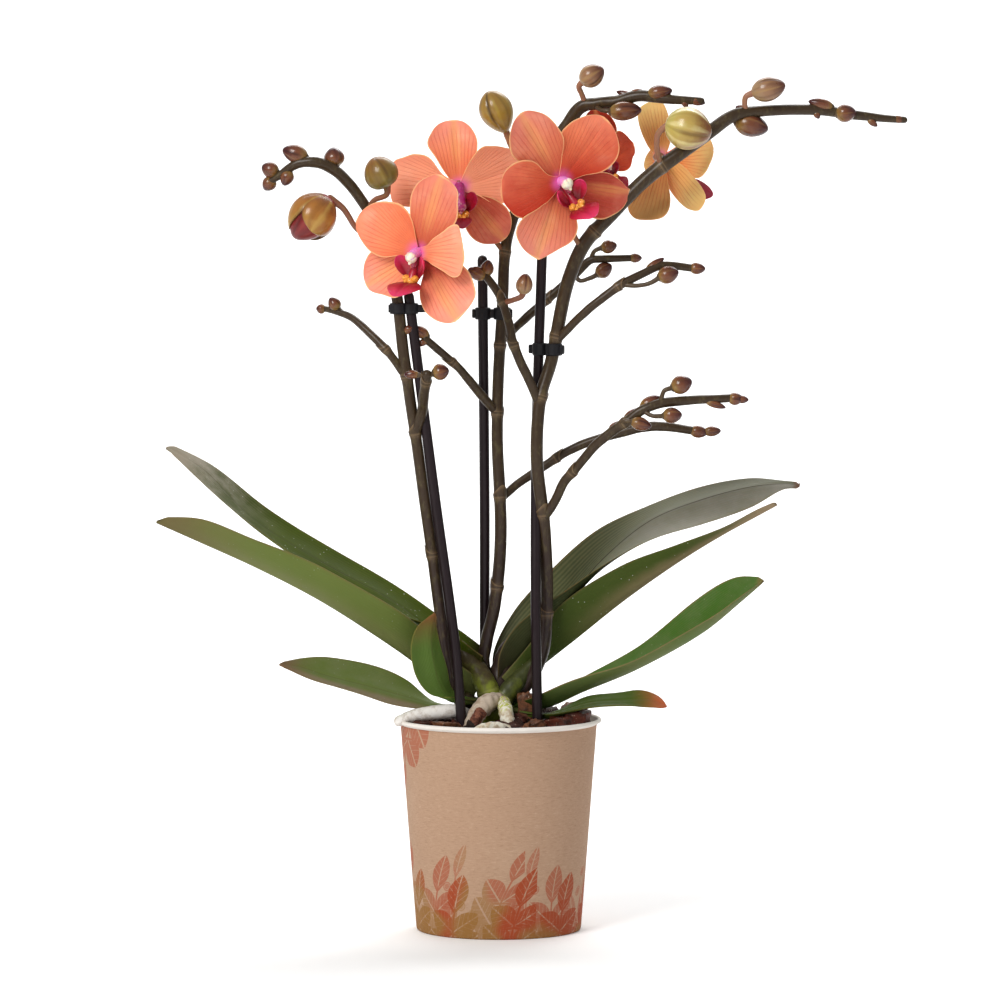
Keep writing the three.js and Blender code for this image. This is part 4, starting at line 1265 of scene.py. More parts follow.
@dataclass
class Medium:
    """Bark in the pot, with chips scattered over its top by rule."""

    top: tuple[tuple[float, float], ...] = ((41.3, 90), (41.2, 92.4), (36, 94.6), (24, 95.4), (10, 96))
    floor: float = 3.2
    foot_radius: float = 32.2
    chip_density: float = 26000
    chip_gap: float = 4.2
    chip_size: Point = (7.5, 4.6, 2.6)
    chip_kinds: int = 4
    chip_bend: float = 6.5
    seed: int = 7
    chunks: tuple[tuple[Point, Point], ...] = (
        ((12.5, -4, 103), (3.6, 3.2, 6.4)), ((6, -22, 96.4), (5, 4, 2.8)), ((16, -28, 96.6), (5.4, 4, 2.6)),
        ((27, -25, 97), (5.6, 4, 2.8)), ((35.5, -12, 98.6), (4, 5.4, 4)), ((33.5, 13, 99.4), (5, 4.4, 4.2)),
        ((23, 25, 97), (5, 4, 3)), ((-24, -27, 96), (6, 4, 2.4)), ((-8, 26, 96.6), (6, 4, 3)),
        ((26, -8, 98.5), (5, 3.4, 2.4)), ((-34, 12, 96.6), (5, 5, 3)), ((-35, -17, 95.6), (4, 4.4, 2.4)),
        ((14, 14, 98), (5.4, 4, 3)), ((9, -14, 98.6), (3.4, 3, 2.2)), ((37, 1, 99.4), (3, 4.6, 3.8)))

    def heap(self) -> Skin:
        """Makes the body of bark under the chips.

        Returns:
            The skin, with a value bed where chips may lie.
        """
        profile = [(NEAR_AXIS, self.floor), (self.foot_radius, self.floor), *self.top, (NEAR_AXIS, 95.4)]
        skin = turned(np.array(profile), BARK, 90)
        skin.values = {"tint": np.full(len(skin.points), 0.3), "bed": np.ones(len(skin.points))}
        return skin

    def chunk(self, number: int, middle: Point, half: Point) -> Skin:
        """Makes one large chip with broken corners.

        Args:
            number: Its number, which turns it and picks its tint.
            middle: Its middle, in millimetres.
            half: Its half sizes, in millimetres.

        Returns:
            The chip's skin.
        """
        tall = np.linspace(0.06, math.pi - 0.06, 13)[:, None]
        angle = circle(22)[None]
        ways = np.stack([np.sin(tall) * np.cos(angle), np.sin(tall) * np.sin(angle),
                         np.cos(tall) + 0 * angle], -1)
        blocky = np.sign(ways) * np.abs(ways) ** 0.55
        crumble = 1 + sum(0.09 * np.sin(pitch * blocky[..., axis] + 1.7 * number + pitch)
                          for axis, pitch in ((0, 5.3), (1, 6.1), (2, 4.7), (0, 11), (1, 13)))
        across, back, up = np.moveaxis(blocky * crumble[..., None] * np.array(half), -1, 0)
        across, up = rotated(across, up, 0.3 * math.sin(2.3 * number))
        across, back = rotated(across, back, 1.9 * number)
        tint = 0.35 + 0.6 * abs(math.sin(1.3 * number + 1.7))
        return loft((np.stack([across, back, up], -1) + middle) * MM, {"tint": tint, "bed": 0}, BARK)

    def scatter_tree(self) -> bpy.types.NodeTree:
        """Lays chips on every face that looks up, by Geometry Nodes.

        Returns:
            The tree, with its sizes and its seed as inputs.
        """
        g = Nodes(bpy.data.node_groups.new("bark_scatter", "GeometryNodeTree"))
        sizes = {"Density": self.chip_density, "Gap": self.chip_gap * MM, "Length": self.chip_size[0] * MM,
                 "Width": self.chip_size[1] * MM, "Thickness": self.chip_size[2] * MM, "Seed": self.seed}
        g.tree.interface.new_socket("Geometry", in_out="INPUT", socket_type="NodeSocketGeometry")
        for name, size in sizes.items():
            kind = "NodeSocketInt" if name == "Seed" else "NodeSocketFloat"
            g.tree.interface.new_socket(name, in_out="INPUT", socket_type=kind).default_value = size
        g.tree.interface.new_socket("Geometry", in_out="OUTPUT", socket_type="NodeSocketGeometry")

        def vector(operation: str, first: object, second: object) -> Socket:
            """Returns the result of a Vector Math node."""
            return g.first("ShaderNodeVectorMath", {"operation": operation}, {0: first, 1: second})

        def chance(kind: str, low: object, high: object, number: int) -> Socket:
            """Draws a random value for each chip.

            Args:
                kind: The type of the value.
                low: The lowest value.
                high: The highest value.
                number: The seed.

            Returns:
                The value.
            """
            made = g.node("FunctionNodeRandomValue", {"data_type": kind}, {"Seed": number})
            ends = [socket for socket in made.inputs if socket.enabled and socket.name in ("Min", "Max")]
            ends[0].default_value, ends[1].default_value = low, high
            return next(socket for socket in made.outputs if socket.enabled)

        source = g.node("NodeGroupInput").outputs
        normal = g.node("ShaderNodeSeparateXYZ", {}, {0: g.first("GeometryNodeInputNormal")})
        bed = g.node("GeometryNodeInputNamedAttribute", {"data_type": "FLOAT"}, {"Name": "bed"})
        level = g.first("ShaderNodeMath", {"operation": "MULTIPLY"}, {
            0: normal.outputs["Z"], 1: bed.outputs["Attribute"]})
        upward = g.first("FunctionNodeCompare", {"data_type": "FLOAT", "operation": "GREATER_THAN"}, {
            0: level, 1: 0.6})
        spots = g.node("GeometryNodeDistributePointsOnFaces", {"distribute_method": "POISSON"}, {
            "Mesh": source["Geometry"], "Selection": upward, "Distance Min": source["Gap"],
            "Density Max": source["Density"], "Seed": source["Seed"]}).outputs
        size = g.first("ShaderNodeCombineXYZ", {}, {
            0: source["Length"], 1: source["Width"], 2: source["Thickness"]})
        variants = g.node("GeometryNodeJoinGeometry")
        for kind in range(self.chip_kinds):
            block = g.first("GeometryNodeMeshCube", {}, {
                "Size": size, "Vertices X": 4, "Vertices Y": 4, "Vertices Z": 3})
            where = vector("ADD", g.first("GeometryNodeInputPosition"), (kind * 0.31, kind * 0.17, 0))
            rough = g.node("ShaderNodeTexNoise", {}, {"Vector": where, "Scale": 330, "Detail": 2})
            centred = vector("SUBTRACT", rough.outputs["Color"], (0.5, 0.5, 0.5))
            shift = g.first("ShaderNodeVectorMath", {"operation": "SCALE"}, {
                0: centred, "Scale": self.chip_bend * MM})
            bent = g.first("GeometryNodeSetPosition", {}, {"Geometry": block, "Offset": shift})
            g.feed(variants.inputs[0], g.first("GeometryNodeGeometryToInstance", {}, {0: bent}))
        turn = g.first("FunctionNodeEulerToRotation", {}, {
            0: chance("FLOAT_VECTOR", (-0.7, -0.7, 0), (0.7, 0.7, 6.283), 3)})
        facing = g.first("FunctionNodeRotateRotation", {"rotation_space": "LOCAL"}, {
            "Rotation": spots["Rotation"], "Rotate By": turn})
        laid = g.first("GeometryNodeInstanceOnPoints", {}, {
            "Points": spots["Points"], "Instance": variants.outputs[0], "Pick Instance": True,
            "Instance Index": chance("INT", 0, self.chip_kinds - 1, 5), "Rotation": facing,
            "Scale": chance("FLOAT_VECTOR", (0.55, 0.6, 0.6), (1.15, 1.15, 1.1), 9)})
        tinted = g.first("GeometryNodeStoreNamedAttribute", {"data_type": "FLOAT", "domain": "INSTANCE"}, {
            "Geometry": laid, "Name": "tint", "Value": chance("FLOAT", 0, 1, 13)})
        whole = g.node("GeometryNodeJoinGeometry")
        g.feed(whole.inputs[0], source["Geometry"])
        g.feed(whole.inputs[0], g.first("GeometryNodeRealizeInstances", {}, {0: tinted}))
        dressed = g.first("GeometryNodeSetMaterial", {}, {
            "Geometry": whole.outputs[0], "Material": material_of(BARK)})
        g.node("NodeGroupOutput", {}, {0: dressed})
        return g.tree

    def build(self) -> None:
        """Makes the bark, with its chips turned into one plain mesh."""
        chunks = (self.chunk(number, *chunk) for number, chunk in enumerate(self.chunks))
        bed = in_scene("bark_bed", Piece("bark_bed", self.heap(), *chunks).mesh())
        modifier = bed.modifiers.new("chips", "NODES")
        modifier.node_group = self.scatter_tree()
        wanted = {"Gap": self.chip_gap * MM, "Seed": self.seed}
        for item in modifier.node_group.interface.items_tree:
            if item.in_out == "INPUT" and item.name in wanted:
                modifier[item.identifier] = wanted[item.name]
        bpy.context.view_layer.update()
        graph = bpy.context.evaluated_depsgraph_get()
        plain = bpy.data.meshes.new_from_object(bed.evaluated_get(graph))
        bpy.data.objects.remove(bed)
        hand_over(in_scene("bark_chips", plain), "bark", "bark_medium")


@dataclass
class Root:
    """An aerial root above the bark."""

    name: str
    finish: RootFinish
    points: Points
    radii: tuple[float, ...]
    green: float = 0
    split: bool = False
    lumps: float = 0.07

    def build(self) -> None:
        """Makes the root, with a split in its skin where it has one."""
        route = Route(self.points)
        skin = tube(route, self.radii, self.finish, sides=48, spacing=0.3, rough=self.lumps / 2)
        points, along = skin.points, skin.values["along"]
        away = unit(points - route.at(along))
        wobble = (np.sin(points[:, 0] * 1300) + np.sin(points[:, 1] * 1700 + 1)
                  + np.sin(points[:, 2] * 1500 + 2)) * self.lumps * MM
        torn = np.zeros(len(points))
        if self.split:
            front = -away[:, 1] * 0.75 + away[:, 0] * 0.35
            torn = blend_step(0.2, 0.6, front) * blend_step(0.5, 0.7, along)
            points -= away * (torn * 1.3 * MM)[:, None]
        points += away * wobble[:, None]
        skin.values["torn"] = torn
        skin.values["tone"] = self.green * (1 - blend_step(0.35, 0.6, along))
        Piece(f"{self.name}_skin", skin).build("root", self.name)


ROOTS = (
    Root(
        "root_left", ROOT_SILVER,
        ((-45.6, -14.5, 97.8), (-40, -14.5, 100), (-32.5, -14, 101.2), (-25.5, -13.5, 102),
         (-19, -11.5, 102), (-12, -7, 99)),
        (2.5, 2.9, 3.3, 3.5, 3.2, 2.6), lumps=0.025),
    Root(
        "root_arch", ROOT_BEIGE,
        ((-1, -5, 106.5), (-5.5, -12, 105.5), (-9.5, -17, 101.5), (-13, -20, 95)), (3.8, 4.4, 4.2, 3.6),
        split=True),
    Root(
        "root_right", ROOT_WHITE,
        ((2.5, -8, 106), (3, -17, 103.5), (4, -20.5, 99), (5, -22, 93)), (2.8, 3.3, 3.2, 2.9), green=1),
    Root(
        "root_front", ROOT_WHITE,
        ((4, -27, 95.5), (-2, -30, 96.6), (-7.5, -32, 96), (-12, -32.5, 93.5)), (2.2, 2.6, 2.5, 2)),
)


# Leaves


@dataclass
class Leaf:
    """A thick leaf between two edges and a rib."""

    name: str
    finish: LeafFinish
    far: Points
    rib: Points
    near: Points
    thickness: float = 2.1
    edge: float = 0.55
    belly: float = 0.1
    wave: float = 0.5
    round_tip: float = 0.025
    rows: int = 96
    columns: int = 29

    def build(self) -> None:
        """Makes the leaf with its groove, its bowed halves and a slight wave along its edges."""
        share = np.sin(np.linspace(0, math.pi / 2, self.rows))
        far, rib, near = (Route(points).at(share) for points in (self.far, self.rib, self.near))
        down = unit(np.cross(unit(near - far), unit(np.gradient(rib, axis=0))))
        if down[0].dot(2 * rib[0] - far[0] - near[0]) < 0:
            down = -down
        u, s = share[:, None], np.linspace(-1, 1, self.columns)[None]
        size, middle = np.abs(s), np.sin(math.pi * u)
        edges = np.where(s[..., None] < 0, far[:, None], near[:, None])
        half = np.linalg.norm(edges - rib[:, None], axis=2) / MM
        end = np.clip((u - 1 + self.round_tip) / self.round_tip, 0, 0.99)
        flat = rib[:, None] + (edges - rib[:, None]) * size[..., None] * np.sqrt(1 - end ** 2)[..., None]
        depth = (self.thickness * (1 - size ** 1.6) + self.edge * size ** 1.6) * (1.15 - 0.55 * u)
        depth = depth * np.sqrt(1 - 0.75 * size ** 10)
        sag = self.belly * half * 4 * size * (1 - size) * (0.4 + 0.6 * middle)
        groove = 0.5 * np.exp(-(s * half / 1.3) ** 2)
        ripple = self.wave * size ** 3 * np.sin(u * 17 + np.sign(s) * 1.3) * middle
        upper = flat + down[:, None] * ((sag - depth + groove + ripple) * MM)[..., None]
        skin = blade(upper, -down.mean(0), depth, {"along": u, "across": s}, self.finish)
        Piece(f"{self.name}_blade", skin).build("leaf", self.name, keen=70)


# The grey film on the two back leaves is partly dust and partly painted sheen.
LEAVES = (
    Leaf(
        "leaf_left_back",
        LeafFinish(
            "leaf_grey_left", "#38440c", "#52601c", "#928978", dust_and_sheen=1, dust_and_sheen_from=0.58, specks=0.9,
            tip_from=0.76, base="#343216", bloom="#969082", shine=1.1, lines=0.3, line_count=9),
        ((-5, 13, 127), (-21.5, 16, 139.5), (-44.5, 22, 154.5), (-76, 28, 173.5), (-110, 30, 194),
         (-134, 27, 213.5), (-152, 21, 223)),
        ((-7.5, 5, 118.5), (-23.5, 7, 128.5), (-48, 9, 149), (-80.5, 13, 167), (-114.5, 17, 188),
         (-137.5, 19, 211), (-154, 18, 221.5)),
        ((-7.5, -3, 126.5), (-22.5, -2, 137), (-47.5, -3, 146.5), (-80, -2, 163), (-111, 4, 184.5),
         (-136.5, 9, 205.5), (-152.5, 15, 220))),
    Leaf(
        "leaf_right_back",
        LeafFinish(
            "leaf_grey_right", "#5c5e3e", "#2c3418", "#685042", dust_and_sheen=0.72, dust_and_sheen_from=0.33, dust_and_sheen_side=0.6,
            specks=0.05, tip_from=0.96, base="#2e251a", base_until=0.26, gloss=0.36, band="#52581e",
            band_reach=0.12, bloom="#848077", lines=0.55, line_count=11, mottle=0.4, crease_shade=0.95),
        ((-2.5, 9, 114), (-2, 13, 128), (7, 18, 145.5), (26, 28, 165), (47.5, 36, 183), (70.5, 38, 194),
         (94, 36, 202), (118, 31, 206.5), (132.5, 24, 206), (139, 20, 205.5)),
        ((1, 5, 106), (2.5, 6, 115), (13.5, 8, 129.5), (29.5, 14, 145.5), (49, 21, 168.5),
         (71, 24, 186.5), (93.5, 24, 196), (117.5, 23, 202.5), (132.5, 21.5, 204), (139.5, 19.5, 204)),
        ((0, 1.5, 113), (0.5, -1.2, 127), (8.5, 0, 140), (28.5, 3, 155), (49.5, 4, 169), (71.5, 8, 179.5),
         (94, 11, 186.5), (117, 14, 194.5), (132, 18, 202), (139, 19, 202.5))),
    Leaf(
        "leaf_left_long",
        LeafFinish(
            "leaf_green_left", "#5b682f", "#637037", "#685e3c", dust_and_sheen=0.12, specks=0.4, tip_from=0.6,
            rib_band=0.25, lines=0.35),
        ((-8.5, 12, 114), (-25, 10, 123), (-45.5, 4, 139), (-78.5, -4, 159.5), (-109.5, -8, 174.5),
         (-135, -14, 185.5), (-154, -22, 191)),
        ((-11.5, 4, 107), (-27, 2, 115), (-47.5, -10, 131), (-81, -18, 153.5), (-111, -22, 169.5),
         (-136, -24, 181), (-156, -25, 190)),
        ((-9.5, -3, 116.5), (-24, -3, 127), (-44, -20, 148), (-76.5, -32, 167.5), (-107.5, -36, 181.5),
         (-133, -34, 191.5), (-153, -27, 192.5))),
    Leaf(
        "leaf_right_long",
        LeafFinish(
            "leaf_green_right", "#3c4a1a", "#3e4a1c", "#8e7c62", dust_and_sheen=0.1, specks=0.9, tip_from=0.55,
            band="#7a6c4e", rib_band=0.85, rib_from=0.2, edge="#625434"),
        ((3.5, 12, 115), (16, 20, 128.5), (33, 24, 147), (56.5, 22, 163.5), (82, 16, 174.5),
         (103, 8, 183.5), (116.5, 4, 192), (128, 1, 197.5)),
        ((6, 5, 110), (19.5, 10, 121), (36.5, 10, 134.5), (58.5, 6, 152.5), (83.5, 2, 170.5),
         (103.5, 0, 183), (117, -1, 190.5), (128, -1, 196.5)),
        ((1.5, 0, 116.5), (14.5, 4, 131.5), (30.5, 6, 151), (56, 2, 168), (81, -2, 177), (102.5, -3, 186),
         (116.5, -3, 193), (127.5, -2, 198))),
    Leaf(
        "leaf_right_mid",
        LeafFinish(
            "leaf_bright_right", "#3a6218", "#666c42", "#74683c", dust_and_sheen=0.06, specks=0.2, tip_from=0.94,
            base="#2c3c12", base_until=0.4, edge="#8c684c"),
        ((7, 5, 107.5), (20.5, 3, 107), (37.5, 3, 115), (63, -2, 130.5), (91.5, -5, 153),
         (108.5, -10, 163.5), (120, -19, 164.5)),
        ((6, 0, 101.5), (22, -6, 103.5), (38.5, -9, 111), (63.5, -14, 122), (94, -17, 139.5),
         (110.5, -20, 153.5), (121, -21.5, 163)),
        ((9, -6, 105.5), (21, -13, 110.5), (38, -18, 118.5), (64.5, -24, 127.5), (93.5, -27, 144.5),
         (110, -27, 156), (120.5, -23, 162.5))),
    Leaf(
        "leaf_left_low",
        LeafFinish(
            "leaf_soft_left", "#5c6e2a", "#6a743a", "#765e46", dust_and_sheen=0.16, specks=0.2, band="#867058",
            band_reach=0.5, lines=0.35, tip_from=0.7, edge="#80684a", shine=1.15),
        ((-13.5, 5, 103), (-28.5, 4, 104.5), (-43, 2, 115), (-59.5, -2, 123), (-77.5, -10, 126.5),
         (-91, -18, 127), (-99, -25, 126)),
        ((-10.5, 0, 100.5), (-30, -4, 103), (-45.5, -9, 108), (-61, -14, 113), (-78, -19, 118),
         (-91.5, -23, 123), (-100, -27, 125)),
        ((-12, -5, 101), (-31, -10, 102), (-44.5, -18, 105), (-60.5, -24, 110), (-78.5, -28, 116),
         (-91, -29, 120.5), (-99, -29, 124))),
    Leaf(
        "leaf_left_young",
        LeafFinish(
            "leaf_young_left", "#58722e", "#546c2e", "#805832", dust_and_sheen=0.04, specks=0.1, tip_from=0.62,
            edge="#8c8442"),
        ((-9, -2, 106.3), (-18, -5.5, 109), (-22, -10, 113), (-24, -13, 123.5), (-27, -15, 133),
         (-28.5, -18, 141.5), (-28.5, -22, 147)),
        ((-10, -5, 105), (-20, -9.5, 106), (-26.5, -15, 112), (-30, -20, 123), (-31.5, -23, 133.5),
         (-31, -25, 143.5), (-29.5, -25.5, 148.5)),
        ((-11, -8, 106.3), (-21, -13.5, 108.5), (-31, -20.5, 110.5), (-38, -27, 120), (-40, -31, 132),
         (-37.5, -31, 142), (-31, -27, 148)),
        wave=0.2),
    Leaf(
        "leaf_right_low",
        LeafFinish(
            "leaf_low_right", "#405416", "#48561a", "#ac5836", dust_and_sheen=0.04, specks=0.1, tip_from=0.62),
        ((5, 0, 103.5), (22, -6, 100.5), (42, -8, 108.5), (58, -14, 111.5), (69, -21, 111.8),
         (76.5, -27, 108.8)),
        ((5, -3, 101), (22, -9.5, 99), (42, -15, 105), (58, -20, 107), (69.5, -25, 108),
         (76.5, -29, 106)),
        ((6, -6, 101.5), (22.5, -13, 100), (42.5, -24, 105.5), (58.5, -28, 106), (69.5, -31, 105.8),
         (76.5, -31, 104.6)),
        round_tip=0.12),
)


@dataclass
class Crown:
    """The short stem and the leaf bases that wrap it."""

    points: Points = ((-1.5, 4, 82), (-2, 3.5, 96), (-3, 3.5, 104), (-3.5, 4, 110))
    radii: tuple[float, ...] = (5.5, 6.6, 6, 4)
    sheaths: tuple[tuple[Points, tuple[float, ...], StemFinish], ...] = (
        (((9, 11, 137), (4.5, 9.5, 127.5), (1, 7, 117), (-1.5, 5, 107)), (2, 5, 5.5, 5.2), CROWN_DARK),
        (((15.5, 5.5, 122), (10, 3.5, 116), (5, 0.8, 110.5), (1, 0.2, 105), (-1, 1, 99)),
         (3, 4.2, 4.6, 5, 5.2), CROWN_RIGHT),
        (((-18, 4.5, 130), (-13, 2.5, 124), (-8.5, 0.5, 117.5), (-5.2, -0.8, 111), (-3.4, -1, 102.5),
          (-2.8, -0.5, 95)), (3.4, 4.6, 5, 5.3, 5.6, 5.4), CROWN_SKIN),
        (((-14.5, 1, 106.5), (-9, 0, 102.5), (-4, 0.5, 98)), (3, 3.6, 4.2), CROWN_DARK))

    def build(self) -> None:
        """Makes the crown with the thin rings that old leaf bases leave."""
        piece = Piece("crown_stem", tube(Route(self.points), self.radii, CROWN_SKIN, sides=36, spacing=0.6))
        for points, radii, finish in self.sheaths:
            piece.add(tube(Route(points), radii, finish, sides=36, spacing=0.5, swells=((0.62, 0.35, 0.14),),
                           rough=0.015))
        piece.build("crown", "crown")


# Stakes and clips


@dataclass
class Stake:
    """A coated rod."""

    name: str
    points: Points
    capped: bool = False
    radius: float = STAKE_RADIUS

    def build(self) -> None:
        """Makes the rod, with a small crossbar on top where it has one."""
        rod = tube(Route(self.points), (self.radius, self.radius), STAKE, sides=24, spacing=2, rough=0.004)
        piece = Piece(f"{self.name}_rod", rod)
        if self.capped:
            x, y, z = self.points[0]
            bar = Route(((x - 1.4, y, z + 0.1), (x + 1.4, y, z + 0.1)))
            piece.add(tube(bar, (0.9, 0.9), STAKE, sides=14, spacing=0.4, rough=0))
        piece.build("stake", self.name)


STAKES = (
    Stake(
        "stake_left",
        ((-41, -14, 292.5), (-29, -13, 199.5), (-19.5, -15, 128), (-16, -17, 80), (-14, -18, 45))),
    Stake(
        "stake_mid",
        ((-7.5, 9, 308.6), (-6.5, 12, 197.5), (-6.5, 15, 128), (-6, 16.5, 80), (-6, 17, 45)),
        capped=True),
    Stake(
        "stake_right",
        ((20, -2, 316.5), (17.5, -2, 235.5), (17, -4, 199), (17, -10, 153), (18, -15, 80),
         (18.5, -17, 45))),
)


@dataclass
class Clip:
    """A snap clip: two open collars on one bar, with a gripping tab at each end."""

    name: str
    stake: Point
    spike: Point
    tabs: tuple[float, float]
    height: float
    stake_radius: float = STAKE_RADIUS
    spike_radius: float = 2.75
    wall: float = 1.1
    gap: float = 0.15
    rim: float = 0.35
    bar_depth: float = 1.25

    def collar(self, middle: Point, radius: float) -> Skin:
        """Makes a rounded ring round a stem.

        Args:
            middle: The stem's middle, in millimetres.
            radius: The stem's radius, in millimetres.

        Returns:
            The ring's skin.
        """
        inner, half, rim = radius + self.gap, self.height / 2, self.rim
        outer = inner + self.wall
        lower = ((inner, rim - half), (inner + rim, -half), (outer - rim, -half), (outer, rim - half))
        profile = [*lower, *((across, -up) for across, up in reversed(lower))]
        skin = turned(np.array(profile), CLIP_PLASTIC, 40)
        skin.points += np.array(middle) * MM
        return skin

    def bar(self) -> list[Skin]:
        """Makes the bar between the collars and the tabs beyond them.

        Returns:
            The skins of the parts that show.
        """
        ends = sorted((self.stake, self.spike))
        left, right = (np.array(p, float) for p in ends)
        way = unit(right - left)
        near, far = (self.stake_radius if p == self.stake else self.spike_radius for p in ends)
        spans = ((left - way * (near + self.tabs[0]), left - way * (near + 0.6)),
                 (left + way * (near + 0.5), right - way * (far + 0.5)),
                 (right + way * (far + 0.6), right + way * (far + self.tabs[1])))
        return [self.block(a, b) for a, b in spans if (b - a).dot(way) > 0.3]

    def block(self, start: Array, end: Array) -> Skin:
        """Makes one rounded bar.

        Args:
            start: Its first end, in millimetres.
            end: Its other end.

        Returns:
            The bar's skin.
        """
        angle, power = circle(32), 2 / 5
        cos, sin = np.cos(angle)[:, None], np.sin(angle)[:, None]
        way, up = unit(end - start), np.array((0, 0, 1))
        side = unit(np.cross(way, up))
        section = (np.sign(cos) * np.abs(cos) ** power * self.bar_depth * side
                   + np.sign(sin) * np.abs(sin) ** power * (self.height / 2 - 0.7) * up)
        length = np.linalg.norm(end - start)
        steps = [(0, 0.8), (0.12, 0.93), (0.35, 1)]
        marks = steps + [(length - distance, size) for distance, size in reversed(steps)]
        rings = np.array([start + way * distance + section * size for distance, size in marks])
        return loft(rings * MM, {}, CLIP_PLASTIC)

    def build(self) -> None:
        """Makes the clip."""
        collars = self.collar(self.stake, self.stake_radius), self.collar(self.spike, self.spike_radius)
        Piece(f"{self.name}_body", *collars, *self.bar()).build("clip", self.name, keen=40)


CLIPS = (
    Clip("clip_left", (-40.3, -14, 287), (-45.8, -13.8, 287), (1.8, 8), 5),
    Clip("clip_mid", (-7.3, 9.4, 284), (1.6, 8.6, 284), (2.6, 2), 5.6),
    Clip("clip_right", (19, -2, 268), (25.2, -6.1, 268), (3.4, 2.6), 5.6),
)


# Spikes


@dataclass
class Twig:
    """A stem or side branch with its radii and the heights of its nodes."""

    points: Points
    radii: tuple[float, ...]
    nodes: tuple[float, ...] = ()

    def skins(self, sides: int, girth: float) -> list[Skin]:
        """Makes the twig and the bracts that hug it at its nodes.

        Args:
            sides: How many points go round the twig.
            girth: How much thicker it is than its radii.

        Returns:
            The skins of the twig and its bracts.
        """
        route = Route(self.points)
        radii = tuple(radius * girth for radius in self.radii)
        shares = [route.share_at_height(z) for z in self.nodes]
        swells = tuple((share, 1.8, 0.3) for share in shares)
        skins = [tube(route, radii, STEM, sides=sides, spacing=0.9, swells=swells)]
        for number, share in enumerate(shares):
            radius = float(np.interp(share, np.linspace(0, 1, len(radii)), radii))
            skins.append(self.bract(route, share, radius, 2.4 * number))
        return skins

    @staticmethod
    def bract(route: Route, share: float, radius: float, turn: float) -> Skin:
        """Makes the scale at a node, higher on one side.

        Args:
            route: The twig's path.
            share: Where the node is on it.
            radius: The twig's radius there, in millimetres.
            turn: Which way the scale's tip points, in radians.

        Returns:
            The scale's skin.
        """
        path = route.at(np.linspace(share, min(share + 0.04, 1), 3))
        along = unit(path[-1] - path[0])
        across = unit(np.cross(along, (0.3, 1, 0.2)))
        angle = circle(22)
        way = swing(across, np.cross(along, across), angle)
        tall = 1.2 + 4.2 * np.clip(np.cos((angle - turn) / 2), 0, 1) ** 6
        levels = ((0.2, -1.2, 0, 0), (0.34, -0.6, 0, 0.45), (0.42, 0.3, 0, 0.05), (0.46, 0, 0.6, 0.1),
                  (0.4, 0, 1, 0.6), (0.2, 0, 0.96, 0.6), (-0.4, -0.4, 0.3, 0), (-0.6, -1, 0, 0))
        rings = np.array([path[0] + along * ((low + up * tall) * MM)[:, None] + ((radius + out) * MM) * way
                          for out, low, up, _ in levels])
        pale = np.array(levels)[:, 3:]
        return loft(rings, {"along": 0, "ring": 0, "tone": pale}, STEM)


@dataclass
class Spike:
    """A flower stem with its branches, short stalks and small closed buds."""

    name: str
    girth: float
    stem: Twig
    branches: tuple[Twig, ...]
    stalks: tuple[Points, ...]
    buds: tuple[tuple[Point, Point, float], ...]

    def build(self) -> None:
        """Makes the whole spike as one piece."""
        piece = Piece(f"{self.name}_stem", *self.stem.skins(24, self.girth))
        for branch in self.branches:
            piece.add(*branch.skins(18, self.girth))
        for stalk in self.stalks:
            piece.add(tube(Route(stalk), (1.15, 1, 1.2), STEM, sides=12, spacing=0.7, tone=0.12))
        for number, (base, tip, radius) in enumerate(self.buds):
            start, way = np.array(base), np.array(tip) - np.array(base)
            piece.add(lump(base, tip, radius * 1.08, SMALL_BUD, blunt=0.92, seams=0.06, turn=47 * number,
                           rows=18, sides=24),
                      lump(tuple(start - unit(way) * 0.6), tuple(start + way * 0.42), radius * 0.6, STEM,
                           rows=10, sides=16, tone=0.14))
        piece.build("stem", self.name)


